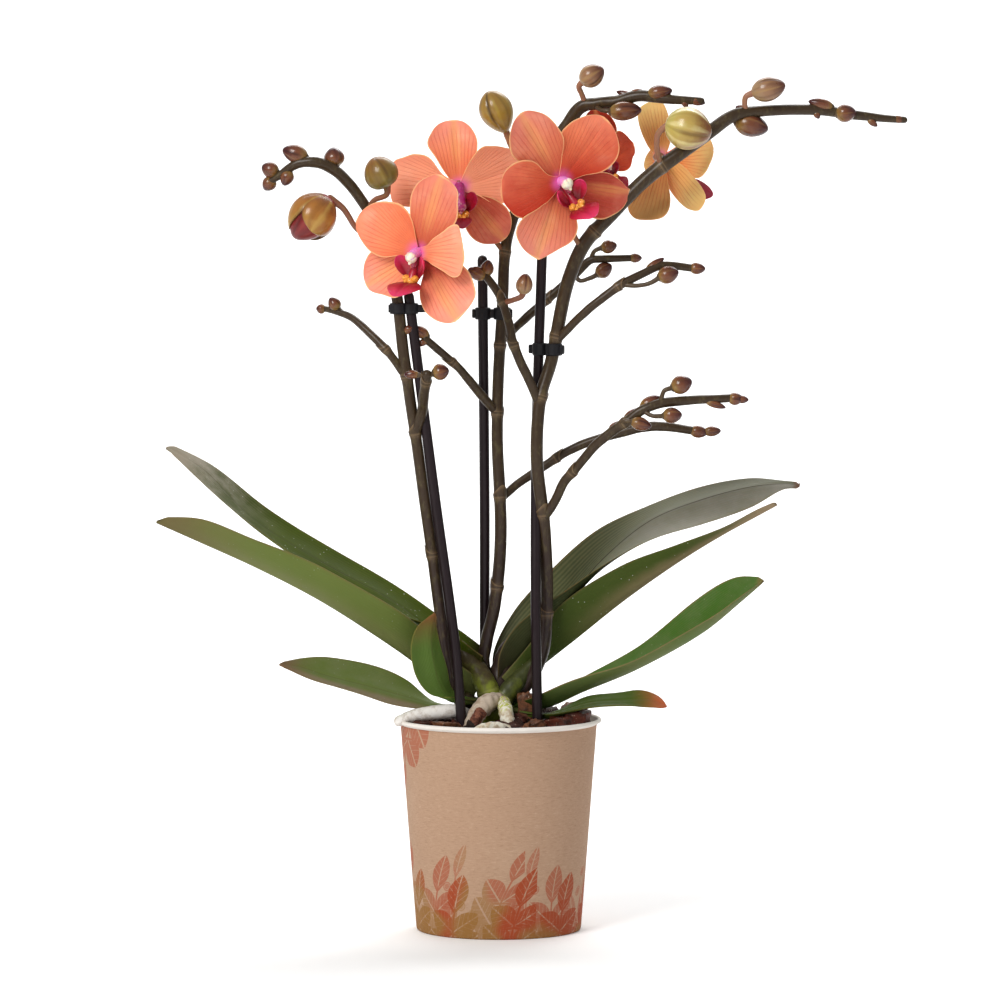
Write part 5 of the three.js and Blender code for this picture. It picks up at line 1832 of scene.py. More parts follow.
SPIKES = (
    Spike(
        "spike_left", 1.1,
        Twig(
            ((-11, 0, 100), (-17, -3, 104.5), (-21, -6, 113), (-24, -8, 127.5), (-30.5, -10, 174.5),
             (-38, -12, 228.5), (-43, -13.5, 263), (-47, -13.5, 295.5), (-50.5, -12.5, 310),
             (-55, -13, 323.5), (-65.5, -15, 340.5), (-74, -17, 349.5), (-82.5, -18, 353.5),
             (-91.5, -17, 353), (-100, -15, 347.5), (-105.5, -14, 344)),
            (2.3, 2.5, 2.4, 2.4, 2.4, 2.4, 2.4, 2.2, 2.4, 2.3, 1.8, 1.2), (173.7, 230, 256, 318)),
        (Twig(
             ((-44, -13.5, 258), (-50, -13, 266.5), (-59, -9, 275.5), (-67.5, -3, 282.5), (-76, 2, 285.5),
              (-81, 5, 286.5)),
             (1.7, 1.8, 1.5, 1.2), (268,)),
         Twig(
             ((-38.5, -12, 229), (-35, -17, 240), (-34, -24, 248), (-32.5, -31, 257.5)), (2.1, 2.2, 2.1),
             (254,))),
        (((-70, -17, 345), (-73, -15.5, 348.5), (-74.5, -14, 352.5)),
         ((-71, 0, 284), (-73, 1, 286), (-74.5, 1, 287.5)),
         ((-38.5, -30, 257.5), (-32.5, -31, 257), (-27.5, -31, 258.5))),
        (((-87, -15.5, 355.5), (-98.5, -15, 359.5), 4.1), ((-74.5, -14, 351.5), (-75.5, -14, 360.5), 4.6),
         ((-100.5, -13.5, 348.5), (-108, -13, 352), 3.6), ((-95, -16, 350), (-98, -16, 343), 3),
         ((-102.5, -13, 346.5), (-107, -12, 341), 3.2), ((-79.5, 4.5, 286), (-84, 5, 286.5), 2.2),
         ((-73.5, 1, 286), (-77.5, 1, 291.5), 2.8), ((-30, -31, 258), (-22.5, -31, 259.5), 3.7),
         ((-36, -30, 257.5), (-43, -30, 257.5), 1.9), ((-43.5, -14, 276), (-38.5, -15, 279), 1.9))),
    Spike(
        "spike_mid", 1.16,
        Twig(
            ((-6, 8, 116), (-7, 9, 124), (-5.5, 9, 133), (-1.5, 9, 151.5), (1, 7, 184), (-0.5, 6, 221),
             (-0.5, 7, 243.5), (2, 9, 294.5), (3, 10, 313), (6, 11, 326), (12.5, 12, 341.5),
             (21.5, 12, 357), (31, 10, 370), (38, 8, 379), (45, 6, 380.5), (54.5, 4, 381.5),
             (64.5, 2, 384), (77, -1, 382.5), (92.5, -3, 381.5)),
            (2.4, 2.5, 2.5, 2.3, 2.3, 2.2, 2.2, 2.6, 2.6, 2.4, 2.3, 1.5), (157, 200, 238, 270, 312)),
        (Twig(
             ((-0.5, 7, 238.5), (-4, 5, 242), (-11.5, 1, 251), (-18, -3, 259), (-25.5, -7, 266),
              (-33.5, -12, 273)),
             (1.8, 1.9, 1.6, 1.6), (262,)),
         Twig(
             ((1.5, 7.5, 199), (8.5, 11, 205), (20.5, 13, 213), (31.5, 13, 220), (41.5, 12, 224.5),
              (56.5, 10, 229), (66.5, 9, 231.5), (75, 8, 232), (90, 8, 230)),
             (1.6, 1.8, 1.8, 1.9, 2, 1.7), (217,)),
         Twig(
             ((1, 8, 271), (8.5, 13, 278), (14.5, 15, 283.5), (28.5, 16, 295.5), (35, 15, 301.5),
              (42.5, 13, 308.5), (47, 12, 309), (61, 10, 309.5)),
             (1.6, 1.8, 1.8, 1.6, 1.4), (290,))),
        (((42.5, 13, 308.5), (44, 12, 312.5), (48, 11, 314.5)),
         ((35, 15, 301.5), (37.5, 13, 299), (41.5, 12, 300), (46, 11, 302)),
         ((44, 6, 380), (47, 2, 377.5), (51.5, 0, 377))),
        (((-32, -11.5, 274), (-39.5, -12, 278.5), 2.6), ((-32.5, -12, 272.5), (-37.5, -12, 270), 1.6),
         ((88, 8, 230), (96.5, 8, 229), 2.8), ((94.5, 8, 229.5), (102.5, 8, 230), 2.3),
         ((60, 10, 309.5), (66, 10, 309.5), 2.1), ((47, 11, 314), (54.5, 11, 315.5), 3),
         ((45, 11, 301.5), (52, 11, 306.5), 3.4), ((50.5, 0, 376.5), (65.5, 0, 377.5), 4.3),
         ((62, 5, 383.5), (54, 7, 386), 1.6), ((68, 0.5, 384.5), (79.5, -1, 386.5), 3.4),
         ((87, -2.6, 382), (94.5, -3, 380.6), 1.8), ((60, 3, 384.5), (67, 2.5, 386), 2),
         ((84, -2.5, 382), (86.5, -2.5, 378.5), 1.4))),
    Spike(
        "spike_right", 1.12,
        Twig(
            ((6, 4, 103), (11.5, 4, 110.5), (16.5, 2, 119), (20.5, 0, 129), (22, -1, 144.5),
             (22, -2, 164.5), (21, -4, 185), (17.5, -9, 219.5), (19, -8, 245), (24, -6, 262.5),
             (32, -7, 300), (39, -8, 316), (51.5, -9, 330), (69, -9, 347.5), (87.5, -8, 361),
             (98.5, -6, 369), (107.5, -4, 375), (115, -2, 376.5), (130.5, 1, 377.5), (146, 4, 377.5),
             (161.5, 7, 375.5), (174, 9, 374), (186.5, 11, 373)),
            (2.4, 2.6, 2.6, 2.6, 2.6, 2.9, 3, 2.7, 2.3, 2.1, 1.4), (145.6, 192, 246, 273, 322, 352)),
        (Twig(
             ((21, -5.5, 191), (25.5, -8, 198), (30, -11, 207.5), (35, -14, 213.5), (44, -18, 224.5),
              (51, -20, 230.5), (58.5, -22, 236), (65.5, -23, 241), (73.5, -23, 244), (88, -22, 245.5),
              (106, -20, 246.3)),
             (1.9, 2, 1.9, 2, 2, 2, 1.7), (212, 235)),
         Twig(
             ((18.5, -8, 243), (14.5, -11, 253), (10, -13, 262.5), (6.5, -13, 271.5), (4.5, -12, 281),
              (0, -10, 293.5), (-6.5, -9, 302.5)),
             (1.9, 2, 1.8, 1.7), (270, 290)),
         Twig(
             ((27.5, -7, 273), (35.5, -12, 281.5), (42, -14, 287.5), (49, -15, 293), (56, -15, 298),
              (65, -14, 302.5), (74.5, -13, 306.5), (89, -11, 305.3)),
             (1.7, 1.8, 1.8, 1.7, 1.6), (297,))),
        (((73.5, -23, 244), (74.5, -24, 248), (75.5, -24, 250), (79.5, -24, 251.3)),
         ((65.5, -23, 241), (70, -25.5, 238.5), (75.5, -26, 238.5)),
         ((55.5, -21.5, 234), (57, -24, 236), (61, -25, 235.7)),
         ((56, -15, 298), (62.5, -17, 297.5), (68.5, -18, 298.5), (73.5, -18, 301.3)),
         ((106, -4, 374.5), (109.5, 0, 372.6))),
        (((104.5, -20, 246), (111.5, -20, 246), 2.8), ((108, -20, 246), (114, -20, 245.5), 1.8),
         ((78.5, -24, 251), (88, -24, 254.5), 4.1), ((64.5, -21, 241.5), (73.5, -20, 247), 3),
         ((57, -20.5, 235.5), (64.5, -19, 241.5), 2.4), ((50.5, -19, 230), (55.5, -17, 235.5), 2.3),
         ((74.5, -26, 238.5), (83.5, -26, 239), 3.5), ((60, -25, 236), (69.5, -25, 233.5), 3),
         ((94, -21.5, 245), (103.5, -22, 242), 1.6), ((-6, -9.5, 301), (-14, -10, 305), 3),
         ((-6, -8.5, 301.5), (-4.5, -8, 309), 3), ((87, -11, 305.4), (94.5, -11, 305), 2.6),
         ((72.5, -18, 301), (82, -18, 304), 3.9), ((67, -13, 304), (75.5, -12, 310), 1.9),
         ((108, 0, 372.5), (123.5, 0, 368.5), 5.2), ((113.5, -1, 376.5), (108.5, 0, 379), 2),
         ((153.5, 4, 379), (142, 4, 381.5), 2.5), ((154.5, 4.5, 375.5), (164, 4, 376.5), 4),
         ((145, 3.5, 377), (147, 3, 373.5), 1.5), ((169.5, 8, 373.5), (174, 8, 370), 1.5),
         ((181, 10, 373.6), (187, 11, 372.8), 1.7))),
)


# Large buds


@dataclass
class LargeBud:
    """A large closed or opening bud on its stalk."""

    name: str
    finish: BudFinish
    base: Point
    tip: Point
    radius: float
    stalk: Points
    stalk_radii: tuple[float, ...] = (1.4, 1.25, 1.35, 1.7)
    blunt: float = 0.9
    turn: float = 0
    opening: float = 0
    widest: float = 0.46
    seams: float = 0.07
    ribs: float = 0

    def build(self) -> None:
        """Makes the bud and its stalk as one piece."""
        stalk = tube(Route(self.stalk), self.stalk_radii, STALK, sides=16, spacing=0.7)
        piece = Piece(f"{self.name}_bud", stalk)
        if self.opening:
            piece.add(lump(self.base, self.tip, self.radius * 0.9, BUD_HEART, blunt=0.95, seams=0.06,
                           turn=self.turn + 50, rows=36, sides=54), *(self.shell(k) for k in range(3)))
        else:
            piece.add(lump(self.base, self.tip, self.radius, self.finish, blunt=self.blunt, seams=self.seams,
                           turn=self.turn, rows=44, sides=84, widest=self.widest, ribs=self.ribs))
        piece.build("bud", self.name)

    def shell(self, number: int) -> Skin:
        """Makes one of the three sepals that still wrap an opening bud.

        Args:
            number: Which of the three it is.

        Returns:
            The sepal's skin.
        """
        start, end = np.array(self.base) * MM, np.array(self.tip) * MM
        _, across, square = (way[0] for way in ways_along(np.array([start, end])))
        t = np.linspace(0.01, 0.94 - 0.11 * number, 30)[:, None]
        s = np.linspace(-1, 1, 17)[None]
        size = np.sin(math.pi * np.clip(t, 0, 0.985) ** 0.88) ** 0.62
        lift = 1 + self.opening * 0.25 * t ** 3
        spread = math.radians(66) * np.sqrt(np.clip(1 - (t / t[-1]) ** 5, 0.01, 1))
        middle = math.radians(self.turn + 120 * number)
        reach = (self.radius * size * lift * (1 - 0.05 * s ** 4) * MM)[..., None]
        upper = (start + (end - start) * t)[:, None] + reach * swing(across, square, middle + s * spread)
        stripe = 0.5 + 0.3 * np.sin(5 * s + number) + 0.2 * np.sin(11 * s)
        values = {"along": t, "seam": np.abs(s) ** 8, "stripe": stripe}
        return blade(upper, swing(across, square, np.float64(middle)), np.full(upper.shape[:2], 0.9), values,
                     self.finish)


LARGE_BUDS = (
    LargeBud(
        "bud_half_open", BUD_GOLD, (-76.3, -26.5, 337.8), (-93, -29, 319.5), 10.6,
        ((-51.5, -12.8, 314), (-58, -15, 318), (-65, -19, 324), (-70.5, -23, 332.5),
         (-76.5, -26.5, 337.4)),
        turn=95, opening=1),
    LargeBud(
        "bud_green_left", BUD_OLIVE, (-50.3, -21, 342.6), (-57.3, -22, 355.7), 7.3,
        ((-59.5, -14, 332), (-56.5, -18, 336.5), (-51, -21, 339), (-50.7, -21, 343)), turn=20, blunt=1.32,
        widest=0.36, seams=0.03),
    LargeBud(
        "bud_green_top", BUD_GREEN, (3.5, 8, 367), (-5, 4, 386), 7.8,
        ((14, 12, 345), (10, 14, 353), (5.5, 10, 361.5), (3, 8, 369)), turn=95, blunt=1, widest=0.56),
    LargeBud(
        "bud_yellow_right", BUD_YELLOW, (75.7, -22, 371.5), (96.6, -21.5, 366.4), 9.7,
        ((74, -9, 352), (72, -16, 361), (72.8, -20.5, 367), (77.5, -22, 371)), turn=15, blunt=1.04,
        ribs=0.012, seams=0.04),
    LargeBud(
        "bud_brown_top", BUD_BROWN, (37.5, 2, 390), (48, 0, 396.5), 5.4,
        ((40, 7.5, 380), (38, 5, 385), (36.8, 3, 388.3), (39.5, 1.5, 391.3)), turn=40, blunt=0.97,
        seams=0.03),
    LargeBud(
        "bud_brown_right", BUD_BROWN, (115.5, -5, 385), (131, -6, 389), 5.7,
        ((113.5, -2.5, 376), (112.5, -4, 380), (113, -5, 383.5), (117.5, -5.2, 385.6)), turn=70,
        blunt=0.96, seams=0.03),
    LargeBud(
        "bud_brown_mid", BUD_BROWN, (11, -14, 293.3), (12.5, -14, 303), 4,
        ((2, -10.5, 289.5), (7, -13.5, 291), (10.5, -14, 292.6), (11.2, -14, 295)), turn=10),
)


# Flowers


WIDTHS_AT = (0, 0.2, 0.4, 0.6, 0.8, 0.93, 1)
Widths = tuple[float, float, float, float, float]


class Outline(Enum):
    """Half widths of the usual flower parts on the way to the tip, in millimetres."""

    SEPAL = (4.5, 8.5, 10.4, 9, 5.4)
    SMALL_PETAL = (5, 8.6, 9.4, 7.6, 4.6)
    SMALL_SEPAL = (3.5, 6, 7, 5.5, 3.5)


@dataclass
class Tepal:
    """A petal, sepal or lobe, in millimetres, with its outline and how it is bent.

    The half widths stand at WIDTHS_AT. Left and right are meant as somebody in front of the flower
    sees the part when its tip points up, and a seen width is one that is measured from the front of
    the plant, so it is made wider where the part is turned aside.
    """

    tip: Point
    left: Widths
    right: Widths
    # Tone and its gradient deepen the colour: partly its own colour, partly painted shade and light.
    tone: float = 0
    drift: tuple[float, float] = (0, 0)
    bow: float = 1
    cup: float = 0.1
    curl: float = 0
    roll: float = 0
    ruffle: float = 0.35
    # How strong the dark red base near the lip is, which is partly painted shade.
    blush: float = 0
    claw: float = 2.4
    fan: float = 0.22
    seen: bool = True

    def skin(self, base: Array, facing: Array, finish: Finish, phase: float,
             thickness: float = 0.75) -> Skin:
        """Makes the blade.

        Args:
            base: Where it starts, in metres.
            facing: The way that the flower faces.
            finish: What it is made of.
            phase: A number that sets its ripples apart from its neighbours'.
            thickness: How thick it is, in millimetres.

        Returns:
            The closed blade.
        """
        rows, columns = 54, 33
        angle = np.linspace(0, math.pi / 2 - 0.035, rows)
        v = (np.sin(np.linspace(-math.pi / 2, math.pi / 2, columns)) * 0.35
             + np.linspace(-1, 1, columns) * 0.65)[None]
        u = np.sin(angle)[:, None]
        axis = np.array(self.tip) * MM - base
        length = np.linalg.norm(axis)
        along = axis / length
        across = unit(np.cross(along, facing))
        across, face = rotated(across, np.cross(across, along), -math.radians(self.roll))
        shown = abs(across[0] * along[2] - across[2] * along[0]) / math.hypot(along[0], along[2])
        widen = 1 / max(shown, 0.62) if self.seen else 1
        low, high = (through(angle, np.arcsin(WIDTHS_AT), np.array([self.claw, *side, 0]))[:, None] * widen
                     for side in (self.left, self.right))
        half = np.where(v < 0, low, high)
        ripple = self.ruffle * (np.sin(9 * u + phase) + 0.5 * np.sin(17 * u + 2 * phase)) * np.abs(v) ** 3
        rise = (self.bow * 4 * u * (1 - u) + self.cup * (low + high) / 2 * v ** 2
                + ripple * (0.3 + 0.7 * u) - self.curl * u ** 3
                - 0.5 * np.exp(-(v * half / 1.1) ** 2) * np.sin(math.pi * u))
        upper = (base + along * (length * u)[..., None] + across * (half * v * MM)[..., None]
                 + face * (rise * MM)[..., None])
        depth = thickness * np.sqrt(np.clip(1 - 0.8 * np.abs(v) ** 8, 0, 1)) * (1 - 0.6 * u ** 10)
        values = {"along": u, "across": v, "fan": v * half * MM / (length * (u + self.fan)),
                  "tone": self.tone + self.drift[0] * (u - 0.5) + self.drift[1] * v / 2,
                  "hub": np.linalg.norm(upper - base, axis=2) / MM,
                  "blush": self.blush * np.clip(1.2 - 1.6 * u, 0, 1)}
        return blade(upper, face, depth, values, finish)


@dataclass
class Flower:
    """One open flower: three sepals on a stalk, two petals, a lip and a column."""

    name: str
    hub: Point
    facing: Point
    lip: Point
    sepals: tuple[Tepal, Tepal, Tepal]
    petals: tuple[Tepal, Tepal]
    stalk: Points
    scale: float = 1
    step: float = 0.9
    column: ColumnFinish = COLUMN
    lobe: tuple[float, float] = (20, 19.5)
    lobe_width: float = 8
    lobe_roll: float = 0
    nod: float = 2.4
    reach: float = 1
    lip_dark: float = 0
    cap: float = 2.6
    ways: tuple[Array, ...] = field(init=False)

    def __post_init__(self) -> None:
        """Works out the flower's own ways: out of its face, towards its lip and to its side."""
        out = unit(np.array(self.facing, float))
        lip = np.array(self.lip, float)
        lip = unit(lip - out * lip.dot(out))
        self.ways = (out, lip, np.cross(lip, out))

    def at(self, out: float, lip: float = 0, side: float = 0) -> Array:
        """Returns a place given along the flower's own ways, in millimetres."""
        o, l, s = self.ways
        return np.array(self.hub) + o * out + l * lip + s * side

    def spot(self, out: float, lip: float, side: float = 0) -> Point:
        """Returns a place given along the flower's own ways and scaled with it, in millimetres."""
        k = self.scale
        return tuple(self.at(out * k, lip * k, side * k))

    def foot(self, tepal: Tepal, out: float, away: float) -> Array:
        """Returns where a sepal or petal starts, in metres, from how far out and away it is."""
        return (self.at(out) + unit(np.array(tepal.tip, float) - np.array(self.hub)) * away) * MM

    def knob(self, base: Point, tip: Point, radius: float, finish: Finish, **shape: float) -> Skin:
        """Makes a lump between two places along the flower's own ways, scaled with it."""
        return lump(self.spot(*base), self.spot(*tip), radius * self.scale, finish, **shape)

    def lobe_skin(self, base: Point, tip: Point, shares: Widths, facing: Array, phase: float,
                  glow: tuple[float, float], thickness: float, **bends: float) -> Skin:
        """Makes one lobe of the lip.

        Args:
            base: Where it starts, along the flower's own ways.
            tip: Where it ends.
            shares: Its half widths before they are scaled.
            facing: The way that it faces.
            phase: A number that sets its ripples apart.
            glow: Where its pink tip is fully pink, and how pink that is.
            thickness: How thick it is, in millimetres.
            bends: How it is bent, as a tepal is.

        Returns:
            The lobe's skin.
        """
        widths = tuple(share * self.scale for share in shares)
        lobe = Tepal(self.spot(*tip), widths, widths, ruffle=0.1, seen=False, **bends)
        skin = lobe.skin(np.array(self.spot(*base)) * MM, facing, LIP, phase, thickness)
        skin.values["glow"] = blend_step(0.5, glow[0], skin.values["along"]) * glow[1]
        return skin

    def build(self) -> None:
        """Makes the flower's five pieces."""
        self.build_sepals()
        self.build_petals()
        self.build_lip()
        self.build_column()

    def build_sepals(self) -> None:
        """Makes the three sepals with the receptacle and the stalk."""
        piece = Piece(f"{self.name}_calyx", *(
            tepal.skin(self.foot(tepal, -self.step, 1), self.ways[0], SEPAL, 1.7 * number + 0.4)
            for number, tepal in enumerate(self.sepals)))
        piece.add(lump(tuple(self.at(-5.2)), tuple(self.at(1)), 2.5, STALK, rows=16, sides=24, tone=0.3))
        route = Route((*self.stalk[:-1], tuple(self.at(-3.6))))
        piece.add(tube(route, (1.25, 1.25, 1.4, 1.8), STALK, sides=16, spacing=0.8))
        piece.build("sepal", f"{self.name}_sepals", keen=70)

    def build_petals(self) -> None:
        """Makes the two petals."""
        for side, tepal, phase in zip(("left", "right"), self.petals, (2.3, 4.1)):
            node = f"{self.name}_petal_{side}"
            skin = tepal.skin(self.foot(tepal, self.step, 1.2), self.ways[0], PETAL, phase)
            Piece(f"{node}_blade", skin).build("petal", node, keen=70)

    def build_lip(self) -> None:
        """Makes the lip: claw, two raised side lobes, a crest and a middle lobe that narrows to its tip."""
        out, lip, side = self.ways
        k, far, width = self.scale, self.reach, self.lobe_width
        claw = Route((self.spot(0.8, 2.6), self.spot(3.2 * far, 6.5), self.spot(5.2 * far, 10),
                      self.spot(6.2 * far, 13)))
        piece = Piece(f"{self.name}_lip_lobes", tube(claw, (1.3 * k, 1.5 * k, 2 * k, 2.2 * k), LIP, sides=18,
                                                     spacing=0.4))
        middle = tuple(width * share for share in (0.72, 1, 0.9, 0.62, 0.36))
        piece.add(self.lobe_skin((5.6 * far, 12.6, 0), (*self.lobe, 0), middle, out * 0.5 - lip * 0.87, 0.3,
                                 (0.98, 0.65), 1, bow=1.5 * k, cup=-0.12, claw=2.2 * k, roll=self.lobe_roll))
        for way in (-1, 1):
            piece.add(self.lobe_skin((4.8 * far, 11.6, way * 1.5), (8.4 * far, 1.4, way * 6.3),
                                     (1.7, 2.7, 3.1, 2.8, 1.9), out * 0.75 - side * way * 0.65, way,
                                     (1, 0.7), 0.8, bow=-1.3 * k, cup=0.2, claw=1.5 * k))
            piece.add(self.knob((4.8 * far, 11.8, way * 1.2), (9 * far, 11, way * 3.2), 1.8, LIP, rows=18,
                                sides=30, tone=1, seams=0.3, turn=70 * way))
            piece.add(self.knob((5.6 * far, 12.4, way * 0.8), (10.2 * far, 12.6, way * 1.9), 1.3, LIP,
                                rows=14, sides=24, tone=1, seams=0.2, turn=20 * way))
        piece.add(self.knob((5.5 * far, 12.2, 0.4), (8.8 * far, 13.4, -0.4), 2.2, LIP, rows=18, sides=30,
                            tone=1, seams=0.3, turn=30))
        for skin in piece.skins:
            skin.values["shade"] = np.full(len(skin.points), self.lip_dark)
        piece.build("lip", f"{self.name}_lip", keen=70)

    def build_column(self) -> None:
        """Makes the column with its hooded cap and the hollow below it."""
        k, nod, finish = self.scale, self.nod, self.column
        far = 7.16 + 0.1 * nod
        route = Route((self.spot(0.6, -0.2), self.spot(4.6, 0.45 * nod - 0.9), self.spot(far, nod - 0.6)))
        neck = tube(route, (2.3 * k, 2.3 * k, 2.4 * k), finish, sides=28, spacing=0.3, rough=0.03)
        neck.values["along"] *= 0.4
        piece = Piece(f"{self.name}_column_body", neck)
        piece.add(self.knob((far - 2.2, nod - 1.8), (far + 2.2, nod + 0.5), self.cap, finish, sides=42,
                            seams=0.2, turn=90))
        piece.add(self.knob((far + 0.4, nod), (far + 1.2, nod + 2.6), 0.9, finish, rows=14, sides=20))
        # The hollow under the cap, coloured darker rose in part as painted shade.
        piece.add(self.knob((4, nod + 0.4), (5.6, nod + 4.4), 1.5, finish, rows=18, sides=24, tone=1))
        piece.build("column", f"{self.name}_column")


def sepal(tip: Point, left: Widths, right: Widths, tone: float, **others: float) -> Tepal:
    """Returns a sepal, whose veins run nearly side by side."""
    return Tepal(tip, left, right, tone, **{"fan": 0.7, "ruffle": 0.25, **others})


LONG = Outline.SEPAL.value
SMALL_ROUND = Outline.SMALL_PETAL.value
SMALL_LONG = Outline.SMALL_SEPAL.value
FLOWERS = (
    Flower(
        "flower_1", (-36, -32, 313), (-0.48, -0.86, -0.08), (-0.1, 0, -1),
        (sepal((-26, -46.5, 348), (5.7, 8.3, 9.7, 8.2, 4.6), (6.5, 10.8, 13, 11.4, 9.4), 0.38),
         sepal((-60.5, -12, 297.2), (6, 11.5, 12, 7.4, 4.2), (5, 9.5, 11.6, 9.8, 6), 0.05),
         sepal((-19, -46, 282.5), (8, 13.5, 16.3, 15.5, 12.8), (2, 7.5, 9.7, 8.2, 5), 0.1, blush=1.15)),
        (Tepal((-65, -20.5, 327), (4.8, 8.4, 8.7, 6.5, 3.6), (12.5, 16.4, 15.4, 12, 7.2), 0.2),
         Tepal((-15.5, -59, 311), (4, 7.6, 11, 14.4, 13.6), (3.3, 4.8, 6.9, 9, 7.5), -0.1, ruffle=0.7)),
        ((-47.5, -13, 298), (-45, -17, 304), (-40, -22, 311), (-36.5, -30, 313)), lobe=(21, 17.8),
        lobe_width=8.3, cap=2.8),
    Flower(
        "flower_2", (-18, -9, 342.5), (0.08, -0.97, -0.2), (0.02, 0, -1),
        (sepal((-20.5, 7.5, 373), (6.6, 9.8, 13.1, 10.8, 7.4), (5, 8.5, 9.8, 8.1, 5.2), 0.1),
         sepal((-36, 10, 318.5), LONG, LONG, 0.25, blush=0.5),
         sepal((2.5, 5.5, 318), (4, 8.5, 10.4, 9, 5.4), (4, 8.8, 10.6, 9.3, 5.6), 0.5, blush=0.9)),
        # Negative tones paint light on these two petals, which sit in shade.
        (Tepal((-50, -0.5, 345.5), (4.5, 8.5, 10.6, 11, 10), (5, 12.2, 13.5, 11.2, 9), -0.25),
         Tepal((10, 5, 352), (9.8, 14.2, 13.2, 10.5, 7.8), (6, 11.7, 13, 10, 6), -0.3)),
        ((2.5, 9.5, 312), (-4, 8, 321), (-12, 4, 333), (-17.5, -7, 342)), column=COLUMN_MAGENTA,
        lobe=(18, 15.5), lobe_width=5, nod=8.5, lip_dark=0.7),
    Flower(
        "flower_3", (28, -30, 345), (0.4, -0.91, -0.1), (0.5, 0, -0.86),
        # Tones and gradients on this flower's parts darken one side or end of each, partly as painted shade.
        (sepal((10, -45, 376), (5, 9.4, 13.2, 11.6, 7.2), (5.5, 10.4, 10.7, 8.8, 5.2), 0.35),
         sepal((17.5, -41, 310), (7.8, 12.6, 12.3, 7, 3), (2.4, 6.3, 12.1, 13.4, 9.4), 0.25, blush=0.45),
         sepal(
             (60, -12, 341), (4, 5.8, 6.6, 4.2, 1.3), (8, 13.5, 14.9, 12, 8.2), 0.84, drift=(-0.5, 0),
             blush=1)),
        (Tepal(
             (1, -48, 339.5), (6.6, 9.7, 12.6, 11.2, 6.4), (4.7, 11.2, 13.3, 12.2, 8.9), 0.65,
             drift=(0.1, -0.5)),
         Tepal(
             (48.5, -22, 373.5), (6.6, 13.2, 13, 9.6, 5.6), (5.9, 11.5, 13.8, 12.6, 8), 0.5,
             drift=(-0.5, 0.5))),
        ((38, -8, 314), (33.5, -12, 322), (29, -20, 334), (28, -28, 344)), lobe=(22, 15.5),
        lobe_width=7.5, nod=1, cap=2.9),
    Flower(
        "flower_4", (48, 16, 353), (0.55, -0.83, -0.1), (0.55, 0, -0.83),
        (sepal((44.5, 20, 378), (4, 7, 8, 6.5, 4), (4, 7, 8, 6.5, 4), 1),
         sepal((40.5, 14, 334), SMALL_LONG, SMALL_LONG, 1),
         sepal((51.5, 22, 335), SMALL_LONG, SMALL_LONG, 1)),
        (Tepal((34, 17, 358), SMALL_ROUND, SMALL_ROUND, 0.75),
         Tepal((62.5, 27, 361.5), (6, 9.5, 10, 7, 3.2), (5.7, 7.3, 7.3, 4.6, 3.6), 0.68)),
        ((31, 10, 370), (36, 18, 366), (43, 20, 358), (47.5, 17.5, 353.5)), scale=0.6, lip_dark=0.9),
    Flower(
        "flower_5", (76, 22, 355.5), (0.86, 0.5, -0.1), (0.12, 0, -1),
        (sepal((70, 27, 381.5), (5, 6, 6.4, 6, 5), (5, 6.6, 7.4, 7.4, 6), 0.05, roll=-32),
         sepal((65.5, 8, 327), (4, 6.4, 8.6, 8, 5), (4, 6.4, 8.6, 9.6, 8), 0.75, roll=32),
         sepal((91, 8, 332), (4.4, 6, 6, 5, 3), (4.4, 5.6, 6, 6, 5), -0.1, roll=8, curl=-3)),
        (Tepal((67.5, 33, 352), SMALL_LONG, SMALL_LONG, 0.3),
         Tepal((98.5, 4, 359), (5, 9, 11, 9, 5), (5, 9, 11, 9, 5), 0.15)),
        ((71, -8.5, 349), (73.5, 3, 351), (75.5, 13, 353.5), (76, 21, 355.3)), lobe=(28.5, 14),
        lobe_width=5.2, lobe_roll=-75, reach=2, lip_dark=0.75),
)


# Studio


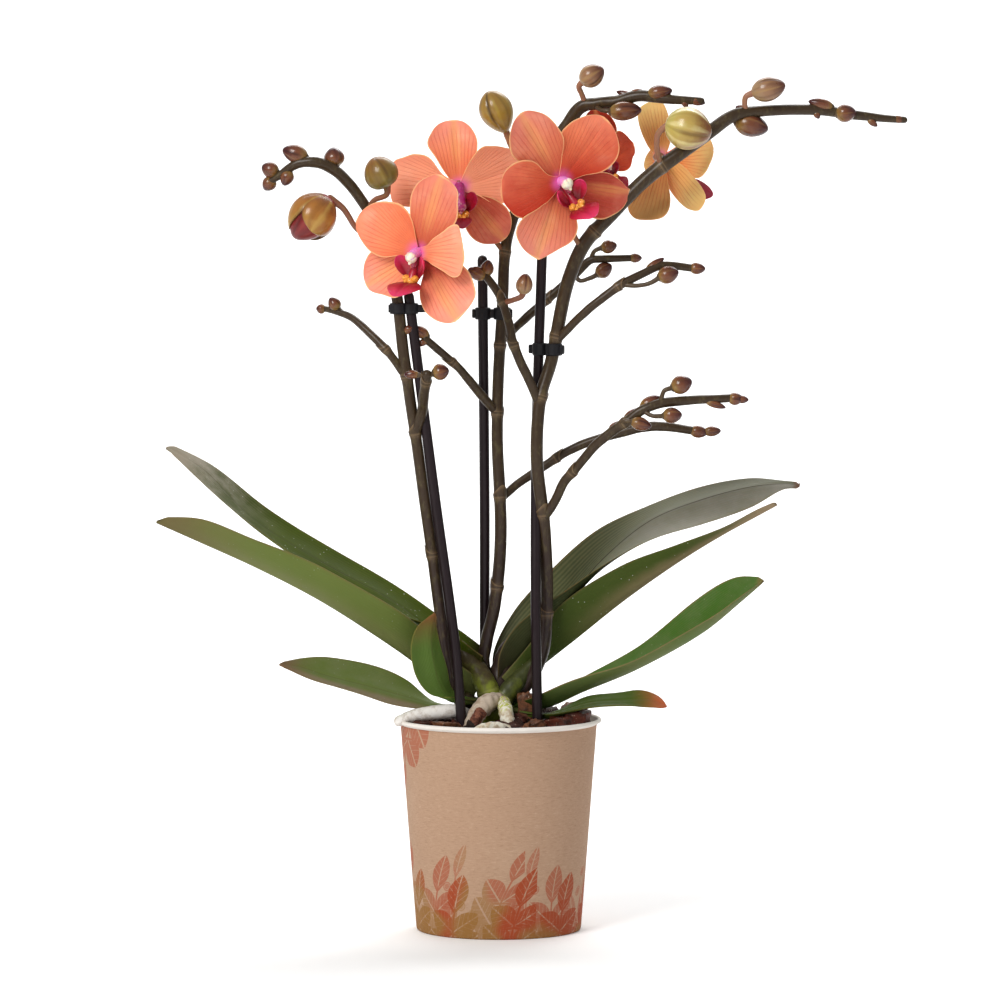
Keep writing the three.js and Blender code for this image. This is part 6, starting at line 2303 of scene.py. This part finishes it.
@dataclass
class Studio:
    """Pale floor that sweeps up behind, soft lights and the camera."""

    eye: Point = (0.6, -2600, 365)
    aim: Point = (0.6, 0, 198.5)
    frame_half: float = 230
    world_strength: float = 0.42

    def backdrop(self) -> None:
        """Makes the floor, with its far side curved up into a wall."""
        wide, near, far, bend, high = 4, -4, 1.6, 1.2, 4
        curve = [(far + bend * math.sin(a), bend * (1 - math.cos(a)))
                 for a in np.linspace(0, math.pi / 2, 14)]
        profile = [(near, 0), *curve, (far + bend, high)]
        points = [(x, y, z) for y, z in profile for x in (-wide, wide)]
        faces = [(2 * i, 2 * i + 1, 2 * i + 3, 2 * i + 2) for i in range(len(profile) - 1)]
        mesh = bpy.data.meshes.new("studio_floor")
        mesh.from_pydata(points, [], faces)
        mesh.shade_smooth()
        graph = Graph("studio_paper")
        graph.set(Base_Color="#fafafa", Roughness=0.9, Specular_IOR_Level=0.1)
        mesh.materials.append(graph.material)
        in_scene("studio_floor", mesh)

    @staticmethod
    def point(thing: Thing, eye: Vector, aim: Vector) -> None:
        """Puts a lamp or the camera in its place and turns it to what it looks at."""
        thing.location = eye
        thing.rotation_euler = (aim - eye).to_track_quat("-Z", "Y").to_euler()

    def light(self, name: str, eye: Point, size: float, power: float, colour: Point = (1, 1, 1),
              aim: Point = (0, 0, 0.22)) -> None:
        """Adds a square lamp.

        Args:
            name: The lamp's name.
            eye: Where it hangs, in metres.
            size: The length of its sides, in metres.
            power: Its power in watts.
            colour: The colour of its light.
            aim: The place that it looks at, in metres.
        """
        lamp = bpy.data.lights.new(name, "AREA")
        lamp.energy, lamp.size, lamp.color = power, size, colour
        self.point(in_scene(name, lamp), Vector(eye), Vector(aim))

    def lights(self) -> None:
        """Hangs the lamps and brightens the world."""
        self.light("key_left", (-1.3, -1.9, 1.7), 1.1, 52, (1, 0.985, 0.96))
        self.light("fill_right", (1.9, -1.6, 0.9), 1.6, 2, (0.97, 0.985, 1))
        self.light("rim_back", (0.7, 1.3, 1.6), 1, 9)
        self.light("backdrop_wash", (0, 1.3, 1.9), 1.5, 40, aim=(0, 2.2, 0.1))
        world = bpy.data.worlds.new("studio_world")
        world.use_nodes = True
        sky = world.node_tree.nodes["Background"].inputs
        sky["Color"].default_value, sky["Strength"].default_value = (1, 1, 1, 1), self.world_strength
        bpy.context.scene.world = world
        view = bpy.context.scene.view_settings
        view.view_transform, view.look, view.exposure = "Standard", "None", 0

    def camera(self) -> None:
        """Sets the camera where the photograph was taken from."""
        eye, aim = Vector(self.eye) * MM, Vector(self.aim) * MM
        data = bpy.data.cameras.new("photo_camera")
        data.angle = 2 * math.atan(self.frame_half * MM / (aim - eye).length)
        data.clip_start, data.clip_end = 0.1, 20
        bpy.context.scene.camera = in_scene("photo_camera", data)
        self.point(bpy.context.scene.camera, eye, aim)

    def build(self) -> None:
        """Sets up the whole studio."""
        self.backdrop()
        self.lights()
        self.camera()


def main() -> None:
    """Builds the plant from the pot upwards."""
    logging.basicConfig(level=logging.INFO, format="%(message)s")
    Studio().build()
    holder = Holder()
    holder.sleeve()
    holder.base()
    holder.grow_pot()
    Medium().build()
    Crown().build()
    for thing in (*ROOTS, *LEAVES, *STAKES, *CLIPS, *SPIKES, *LARGE_BUDS, *FLOWERS):
        thing.build()


if __name__ == "__main__":
    main()
